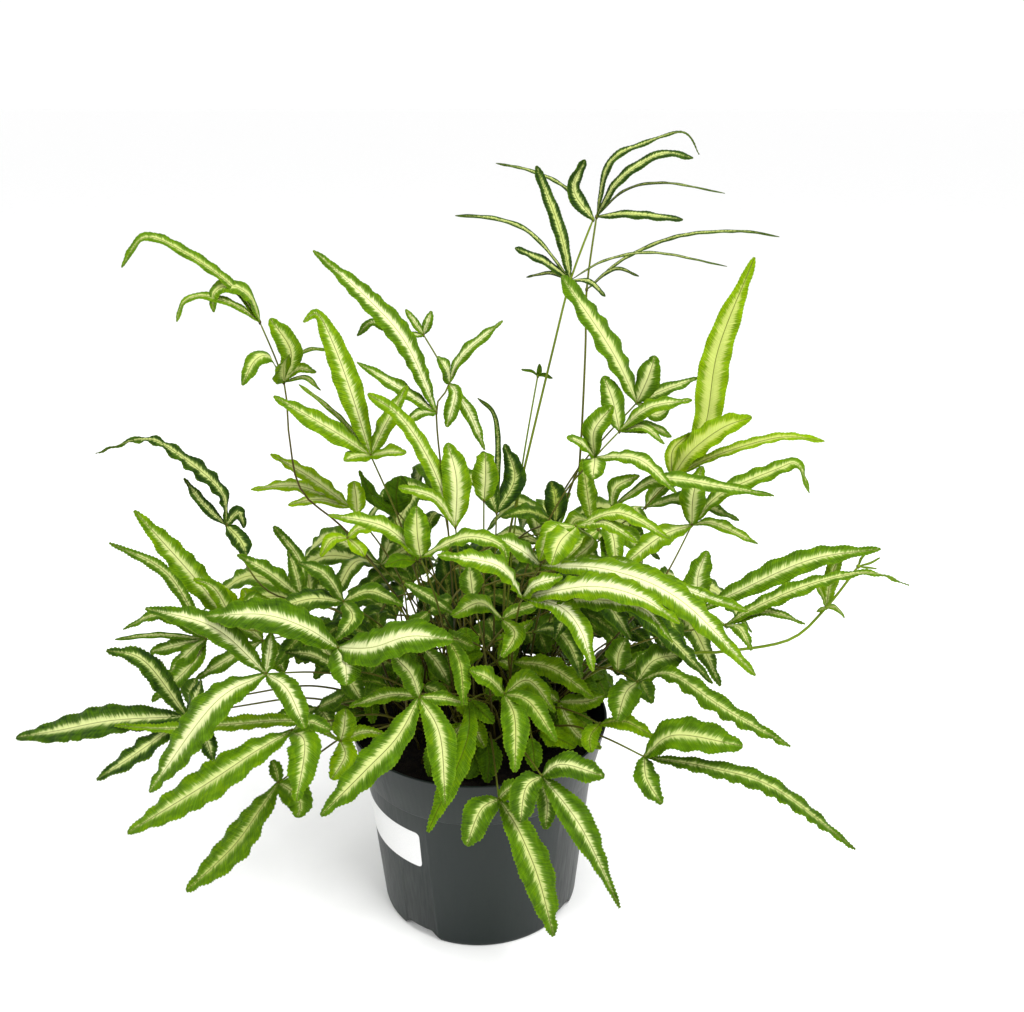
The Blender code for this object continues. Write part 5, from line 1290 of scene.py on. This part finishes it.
def leaf_material():
    """A leaflet: green margins, a finely feathered pale band, a thin midrib and pleated side veins."""
    n = Nodes("fern leaflet")
    across_mm, along_mm, half_mm = n.split(n.attribute("leaf_place", "Vector"))
    shade, band, pale = n.split(n.attribute("leaf_look", "Vector"))
    share, seed = n.attribute("leaf_share"), n.attribute("leaf_seed")
    out_mm = n.math("ABSOLUTE", across_mm)
    side = n.math("SIGN", across_mm)
    vein = n.less(along_mm, n.times(out_mm, 0.6))
    start = n.add(n.times(seed, 431.0), n.times(side, 37.0))

    def strands(pitch_mm, detail=0.0):
        """Noise from -1 to 1 that is constant along each side vein."""
        return n.times_add(n.noise(None, 1.0, detail, w=n.add(n.over(vein, pitch_mm), start)), 2.0, -1.0)

    spot = n.join(n.times(across_mm, 0.35), n.times(along_mm, 0.13), n.times(seed, 90.0))
    patch = n.noise(spot, 1.0, 3.0)

    # The band narrows towards the tip, wanders a little and frays into fine streaks along the veins
    reach = n.times(n.times(half_mm, band), n.ramp(share, 1.0, 0.7))
    reach = n.times(reach, n.ramp(share, -0.02, 0.12, 0.45, 1.0))
    present = n.ramp(band, 0.03, 0.15)
    edge = n.times_add(strands(5.0, 1.0), n.times(half_mm, 0.14), reach)
    zone = n.math("MINIMUM", n.times_add(half_mm, 0.1, 0.3), n.times(half_mm, 0.19))
    depth = n.over(n.less(edge, out_mm), zone)
    fray = n.times_add(strands(0.6, 1.0), 1.7, n.times(strands(1.9), 0.8))
    fringe = n.times(n.ramp(n.times_add(fray, 0.8, depth), -2.4, 0.2), present)
    pale_part = n.times(n.ramp(n.add(depth, fray), -0.6, 0.7), present)
    heart = n.times(n.ramp(n.times_add(fray, 0.5, depth), 0.2, 2.0), present)

    # Margins run from lime to dark green, the dark end partly painted shade on fronds deep in the plant,
    # streaked along the veins and lighter at the teeth
    streak = n.times_add(strands(1.3, 2.0), 0.17, n.times_add(patch, 0.8, -0.4))
    tone = n.add(shade, streak)
    margin = n.mix(n.ramp(tone, 0.0, 0.5, kind="LINEAR"), leafy(156, 196, 0), leafy(98, 142, 6))
    margin = n.mix(n.ramp(tone, 0.5, 1.0, kind="LINEAR"), margin, leafy(40, 70, 17))
    rim = n.ramp(n.less(half_mm, out_mm), 0.55, -0.3)
    margin = n.mix(n.times(rim, 0.3), margin, leafy(150, 186, 40))
    fringe_colour = n.mix(n.ramp(pale, 0.0, 0.7), leafy(136, 174, 20), leafy(160, 192, 84))
    fringe_colour = n.mix(n.ramp(shade, 0.45, 0.95, 0.0, 0.6), fringe_colour, leafy(96, 132, 44))
    pale_colour = n.mix(n.ramp(pale, 0.0, 0.6), leafy(190, 212, 56), leafy(226, 238, 146))
    pale_colour = n.mix(n.ramp(pale, 0.6, 1.2), pale_colour, leafy(252, 258, 200))
    heart_colour = n.mix(n.ramp(pale, 0.35, 1.15), leafy(226, 240, 128), leafy(282, 286, 222))
    heart_streaks = n.ramp(strands(0.8, 2.0), -0.6, 0.4, 0.55, 1.0)
    colour = n.mix(n.times(fringe, 0.52), margin, fringe_colour)
    colour = n.mix(pale_part, colour, pale_colour)
    colour = n.mix(n.times(heart, heart_streaks), colour, heart_colour)
    rib_colour = n.mix(n.ramp(pale, 0.7, 1.1), leafy(96, 100, 30), leafy(168, 174, 76))
    colour = n.mix(n.times(n.ramp(out_mm, 0.32, 0.14), 0.75), colour, rib_colour)
    colour = n.mix(n.times(n.ramp(share, 0.03, -0.01), 0.6), colour, leafy(96, 96, 40))

    # Side veins pleat the blade, and some light shines through it
    pleat = n.math("SINE", n.times(n.times_add(strands(2.4), 0.5, n.over(vein, 1.15)), FULL_TURN))
    pleat = n.times(pleat, n.ramp(n.over(out_mm, half_mm), 0.08, 0.6, 0.35, 1.0))
    normal = n.bump(n.times_add(pleat, 0.5, n.times(patch, 1.2)), 0.00024)
    n.finish(colour, n.ramp(patch, 0.25, 0.75, 0.36, 0.5), normal, 0.05)
    through = n.mix(0.5, colour, (0.75, 0.9, 0.1), "MULTIPLY")
    glow = n.new("BsdfTranslucent", {"Color": through, "Normal": normal})[0]
    solid = n.tree.nodes["Principled BSDF"].outputs[0]
    surface = n.new("MixShader", {0: 0.2, 1: solid, 2: glow})[0]
    n.feed(n.tree.nodes["Material Output"].inputs, {"Surface": surface})
    return n.material


def stalk_material():
    """A wiry stalk: dark brown at its foot, olive above."""
    n = Nodes("wiry stalk")
    green = n.split(n.attribute("leaf_look", "Vector"))[0]
    grain = n.noise(n.coordinates(), 900.0, 2.0)
    turn = n.add(n.attribute("leaf_share"), n.times(n.less(grain, 0.5), 0.3))
    colour = n.mix(n.ramp(turn, 0.15, 0.7), leafy(48, 34, 14), leafy(84, 76, 22))
    fresh = n.mix(n.ramp(turn, 0.1, 0.8), leafy(98, 104, 24), leafy(126, 156, 24))
    colour = n.mix(green, colour, fresh)
    colour = n.mix(n.ramp(turn, 0.75, 1.05, 0.0, 0.7), colour, leafy(120, 140, 30))
    return n.finish(colour, 0.42, n.bump(grain, 0.0001), 0.12)


def pot_material():
    """Moulded plastic: dark slate grey, faintly greener in places, with fine upright streaks, and painted
    shade on the inner wall above the soil.
    """
    n = Nodes("slate grey plastic")
    spot = n.coordinates()
    x, y, z = n.split(spot)
    angle = n.math("ARCTAN2", y, x)
    streaks = n.noise(n.join(n.times(angle, 40.0), 0.0, n.times(z, 60.0)), 1.0, 3.0)
    cloud = n.noise(spot, 18.0, 3.0)
    colour = n.mix(n.ramp(cloud, 0.35, 0.7), linear(4, 17, 15), linear(4, 18, 13))
    colour = n.mix(n.ramp(streaks, 0.3, 0.8, 0.0, 0.25), colour, linear(16, 26, 24))

    # Painted shade: the inner wall above the soil is darkened, as if shadowed by the rim and the leaves
    radius = n.math("SQRT", n.add(n.times(x, x), n.times(y, y)))
    outer = n.times_add(n.less(z, POT_HEIGHT), (RIM_RADIUS - BAND_FOOT_RADIUS) / BAND_HEIGHT, RIM_RADIUS)
    inside = n.ramp(n.less(outer, radius), WALL * 0.6, WALL)
    above = n.ramp(z, SOIL_TOP - WALL, SOIL_TOP)
    colour = n.mix(n.times(n.times(inside, above), 0.7), colour, linear(4, 5, 5))
    height = n.add(n.times(n.noise(spot, 2600.0, 2.0), 0.5), n.times(streaks, 0.8))
    return n.finish(colour, n.ramp(streaks, 0.2, 0.8, 0.34, 0.46), n.bump(height, 0.00005), 0.26)


def label_material():
    """Blank white label paper with a faint sheen."""
    n = Nodes("white label paper")
    fibres = n.noise(n.coordinates(), 1500.0, 4.0)
    colour = n.mix(n.ramp(fibres, 0.3, 0.7), linear(204, 204, 204), linear(212, 212, 211))
    return n.finish(colour, 0.38, n.bump(fibres, 0.00002))


def soil_material():
    """Dark moist potting mix."""
    n = Nodes("potting soil")
    spot = n.coordinates()
    lumps = n.noise(spot, 260.0, 5.0, 0.7)
    fine = n.noise(spot, 1400.0, 3.0)
    colour = n.mix(n.ramp(lumps, 0.35, 0.7), linear(8, 7, 6), linear(24, 19, 14))
    colour = n.mix(n.ramp(fine, 0.62, 0.75, 0.0, 0.4), colour, linear(56, 44, 32))
    return n.finish(colour, 0.9, n.bump(n.add(lumps, n.times(fine, 0.5)), 0.001), 0.08)


def floor_material():
    """A plain pale surface."""
    n = Nodes("pale floor")
    fine = n.noise(n.coordinates(), 30.0, 2.0)
    return n.finish(n.mix(n.ramp(fine, 0.3, 0.7), (0.93, 0.93, 0.93), (0.95, 0.95, 0.95)), 0.7)


# Pot, soil and label


def turned_piece(name, outline, steps, finish, shape=None):
    """A closed turned mesh from an outline of (radius, height) that starts and ends on the axis."""
    inner = outline[1:-1]
    corners = [(0, 0, outline[0][1])]
    for step in range(steps):
        angle = FULL_TURN * step / steps
        for radius, height in inner:
            lift = shape(radius, height, angle) if shape else 0
            corners.append((radius * math.cos(angle), radius * math.sin(angle), height + lift))
    corners.append((0, 0, outline[-1][1]))
    wide = len(inner)
    last = len(corners) - 1
    faces = []
    for step in range(steps):
        a, b = 1 + step * wide, 1 + (step + 1) % steps * wide
        faces.append((0, a, b))
        faces.append((a + wide - 1, last, b + wide - 1))
        faces += [(a + i, a + i + 1, b + i + 1, b + i) for i in range(wide - 1)]
    return smooth_object(name, corners, faces, [finish], TURNED_EDGE_ANGLE)


def rounded(outline):
    """The outline with each inner corner rounded to LIP_RADIUS, or less beside a short side."""
    points = [Vector(point) for point in outline]
    soft = [outline[0]]
    for before, here, after in zip(points, points[1:], points[2:]):
        to_before, to_after = before - here, after - here
        shorter = min(to_before.length, to_after.length)
        cut = min(LIP_RADIUS, shorter * MOST_LIP_SHARE)
        start, end = here + to_before.normalized() * cut, here + to_after.normalized() * cut
        for i in range(LIP_STEPS + 1):
            t = i / LIP_STEPS
            soft.append(tuple(start * (1 - t) ** 2 + here * 2 * t * (1 - t) + end * t**2))
    return [*soft, outline[-1]]


def fine_pot():
    """The pot with round lips, and its foot notches and drain holes cut through."""
    ring_inner = BASE_RADIUS - FOOT_RING_WIDTH
    (bend, _), (chamfer, inset), (_, foot_inset) = FOOT_EDGE
    outline = [
        (0, FLOOR_TOP),
        (BASE_RADIUS - WALL, FLOOR_TOP),
        (WALL_TOP_RADIUS - WALL, BAND_FOOT),
        (RIM_RADIUS - WALL, POT_HEIGHT),
        (RIM_RADIUS, POT_HEIGHT),
        (BAND_FOOT_RADIUS, BAND_FOOT),
        (WALL_TOP_RADIUS, BAND_FOOT - EDGE),
        (pot_radius(bend), bend),
        (BASE_RADIUS - inset, chamfer),
        (BASE_RADIUS - foot_inset, 0),
        (ring_inner, 0),
        (ring_inner - FOOT_SLOPE, FOOT_HEIGHT),
        (CENTRE_DISC_RADIUS + FOOT_SLOPE, FOOT_HEIGHT),
        (CENTRE_DISC_RADIUS, 0),
        (0, 0),
    ]
    pot = turned_piece("pot_moulded", rounded(outline), POT_STEPS, pot_material())
    cutters = bpy.data.collections.new("pot cutters")
    for index in range(DRAIN_COUNT):
        hole = bmesh.new()
        sizes = {"radius1": DRAIN_RADIUS, "radius2": DRAIN_RADIUS, "depth": CUTTER_DEPTH}
        bmesh.ops.create_cone(hole, cap_ends=True, segments=DRAIN_SIDES, **sizes)
        angle = FULL_TURN * (index + 0.5) / DRAIN_COUNT
        add_cutter(hole, cutters, (ring_inner + CENTRE_DISC_RADIUS) / 2, angle, FLOOR_TOP / 2, 0)
    for index in range(NOTCH_COUNT):
        notch = bmesh.new()
        bmesh.ops.create_cube(notch, size=1)
        size = Vector((FOOT_RING_WIDTH * NOTCH_REACH, NOTCH_WIDTH, NOTCH_HEIGHT * 2))
        bmesh.ops.scale(notch, vec=size, verts=notch.verts)
        lower = [vertex for vertex in notch.verts if vertex.co.z < 0]
        bmesh.ops.scale(notch, vec=(1, NOTCH_FLARE, 1), verts=lower)
        angle = NOTCH_FIRST_ANGLE + FULL_TURN * index / NOTCH_COUNT
        add_cutter(notch, cutters, BASE_RADIUS - FOOT_RING_WIDTH / 2 + NOTCH_OUTSET, angle, 0, angle)
    cut = pot.modifiers.new("holes", "BOOLEAN")
    cut.operation = "DIFFERENCE"
    cut.operand_type = "COLLECTION"
    cut.collection = cutters
    cut.solver = "EXACT"
    graph = bpy.context.evaluated_depsgraph_get()
    mesh = bpy.data.meshes.new_from_object(pot.evaluated_get(graph))
    pot.modifiers.clear()
    pot.data = mesh
    for cutter in list(cutters.objects):
        bpy.data.objects.remove(cutter)
    bpy.data.collections.remove(cutters)
    return pot


def add_cutter(shape, cutters, radius, angle, height, turn):
    """A cutting shape at this place round the axis, turned about Z."""
    mesh = bpy.data.meshes.new("cutter")
    shape.to_mesh(mesh)
    shape.free()
    cutter = bpy.data.objects.new("cutter", mesh)
    cutter.location = (radius * math.cos(angle), radius * math.sin(angle), height)
    cutter.rotation_euler.z = turn
    cutters.objects.link(cutter)


def fine_soil():
    """Soil with an uneven crumbly top."""
    draw = random.Random(SOIL_SEED)
    waves = [
        [draw.uniform(*span) for span in (CRUMB_PITCHES, (0, CRUMB_TURN), (0, CRUMB_TURN), CRUMB_SIZES)]
        for _ in range(CRUMB_COUNT)
    ]
    edge, fade = CRUMB_EDGE

    def bumps(radius, height, angle):
        if height < SOIL_TOP - SOIL_LIP:
            return 0
        x, y = radius * math.cos(angle), radius * math.sin(angle)
        total = 0
        for pitch, heading, start, size in waves:
            along = x * math.cos(heading) + y * math.sin(heading)
            total += size * math.sin(pitch * along + start) * CRUMB_PITCHES[0] / pitch
        return total * CRUMB_HEIGHT * min(1, (edge - radius) / fade)

    inset = WALL + GAP
    top = pot_radius(SOIL_TOP) - inset
    shares = [i / SOIL_RINGS for i in range(SOIL_RINGS + 1)]
    outline = [
        *((top * share, SOIL_TOP + (SOIL_CROWN - SOIL_TOP) * (1 - share**CROWN_POWER)) for share in shares),
        (top, SOIL_TOP - SOIL_LIP * 2),
        (WALL_TOP_RADIUS - inset - GAP, BAND_FOOT - EDGE),
        (BASE_RADIUS - inset - GAP, FLOOR_TOP + GAP),
        (0, FLOOR_TOP + GAP),
    ]
    return turned_piece("soil_crumbly", outline, SOIL_STEPS, soil_material(), bumps)


def fine_label():
    """A blank label that follows the wall, with rounded corners."""
    length = LABEL_SWEEP * pot_radius(LABEL_TOP)
    shape = bmesh.new()
    bmesh.ops.create_grid(shape, x_segments=LABEL_GRID[0], y_segments=LABEL_GRID[1], size=0.5)
    bmesh.ops.scale(shape, vec=(length, LABEL_HEIGHT, 1), verts=shape.verts)
    corner_x, corner_y = length / 2 - LABEL_CORNER, LABEL_HEIGHT / 2 - LABEL_CORNER
    for vertex in shape.verts:
        x, y, _ = vertex.co
        past_x, past_y = abs(x) - corner_x, abs(y) - corner_y
        if past_x > 0 and past_y > 0:
            shrink = max(past_x, past_y) / math.hypot(past_x, past_y)
            x = math.copysign(corner_x + past_x * shrink, x)
            y = math.copysign(corner_y + past_y * shrink, y)
        height = LABEL_TOP + y - LABEL_HEIGHT / 2
        angle = LABEL_START - LABEL_SWEEP * (x / length + 0.5)
        radius = pot_radius(height) + LABEL_STANDOFF
        vertex.co = (radius * math.cos(angle), radius * math.sin(angle), height)
    mesh = bpy.data.meshes.new("label_blank")
    shape.to_mesh(mesh)
    shape.free()
    mesh.materials.append(label_material())
    label = linked("label_blank", mesh)
    thick = label.modifiers.new("thickness", "SOLIDIFY")
    thick.thickness = LABEL_THICKNESS
    thick.offset = 1
    return label


# Studio
SURROUND = 1.05
FLOOR_REACH = 30
LAMPS = (
    # name, place, target, size, power
    ("key lamp", (0.6, -0.7, 1.5), (0, 0, 0.2), 0.7, 30),
    ("fill lamp", (-1.1, -0.9, 1.0), (-0.1, 0, 0.15), 0.9, 9),
)


def add_camera():
    """The camera at the photograph's viewing angle."""
    data = bpy.data.cameras.new("camera")
    data.lens = CAMERA_LENS
    camera = linked("camera", data)
    camera.location = CAMERA_PLACE
    camera.rotation_euler = (math.radians(90 - CAMERA_PITCH), 0, 0)
    bpy.context.scene.camera = camera


def add_studio():
    """A plain pale floor, an even pale surround and soft square lamps."""
    world = bpy.data.worlds.new("studio")
    bpy.context.scene.world = world
    world.use_nodes = True
    background = world.node_tree.nodes["Background"]
    background.inputs["Color"].default_value = (1, 1, 1, 1)
    background.inputs["Strength"].default_value = SURROUND
    mesh = bpy.data.meshes.new("floor")
    far = FLOOR_REACH
    mesh.from_pydata([(-far, -far, 0), (far, -far, 0), (far, far, 0), (-far, far, 0)], [], [(0, 1, 2, 3)])
    mesh.materials.append(floor_material())
    floor = linked("floor", mesh)
    for name, place, target, size, power in LAMPS:
        data = bpy.data.lights.new(name, "AREA")
        data.size = size
        data.energy = power
        lamp = linked(name, data)
        lamp.location = place
        lamp.rotation_euler = (Vector(target) - Vector(place)).to_track_quat("-Z", "Y").to_euler()
    bpy.context.scene.view_settings.view_transform = "Standard"


def add_fronds(cad_low, cad_high):
    """The part's own fronds, made finely, and the young and inner ones that it leaves out."""
    fronds = placed_fronds([group for group in FRONDS if group != "inner_frond"]) + back_fronds()
    added = placed_fronds(["inner_frond"]) + young_fronds()
    obstacles = []
    grown = grown_fronds(fronds, obstacles)
    grown += added_fronds(fronds, added, obstacles, cad_low, cad_high)
    finishes = [leaf_material(), stalk_material()]
    draw = random.Random(LEAF_SEED)
    for frond, (line, leaflets) in zip(fronds + added, grown):
        if not leaflets:
            continue
        tubes = fine_stalk(line, frond.hubs, *STALKS.get(frond.name, PLAIN_STALK))
        shade, band, pale, ruffle = frond.look
        blades = []
        for leaflet, route in leaflets:
            look = Look(
                min(max(shade + draw.uniform(-LOOK_SPREAD, LOOK_SPREAD), 0), 1),
                band * draw.uniform(*BAND_SPREAD),
                pale + draw.uniform(-LOOK_SPREAD, LOOK_SPREAD),
                ruffle,
            )
            blades.append(fine_blade(leaflet, route, look, draw))
        piece = frond_object(frond.name + "_fine", tubes, blades, finishes)
        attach(piece, "root")
        if frond.name.startswith("frond"):
            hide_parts(frond.name)


def main():
    cad_low, cad_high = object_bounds()
    add_camera()
    add_studio()
    add_fronds(cad_low, cad_high)
    for piece, node, slot in (
        (fine_pot(), "pot", "pot_plastic"),
        (fine_soil(), "soil", "soil"),
        (fine_label(), "label", "label_paper"),
    ):
        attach(piece, "root")
        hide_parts(node)


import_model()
main()
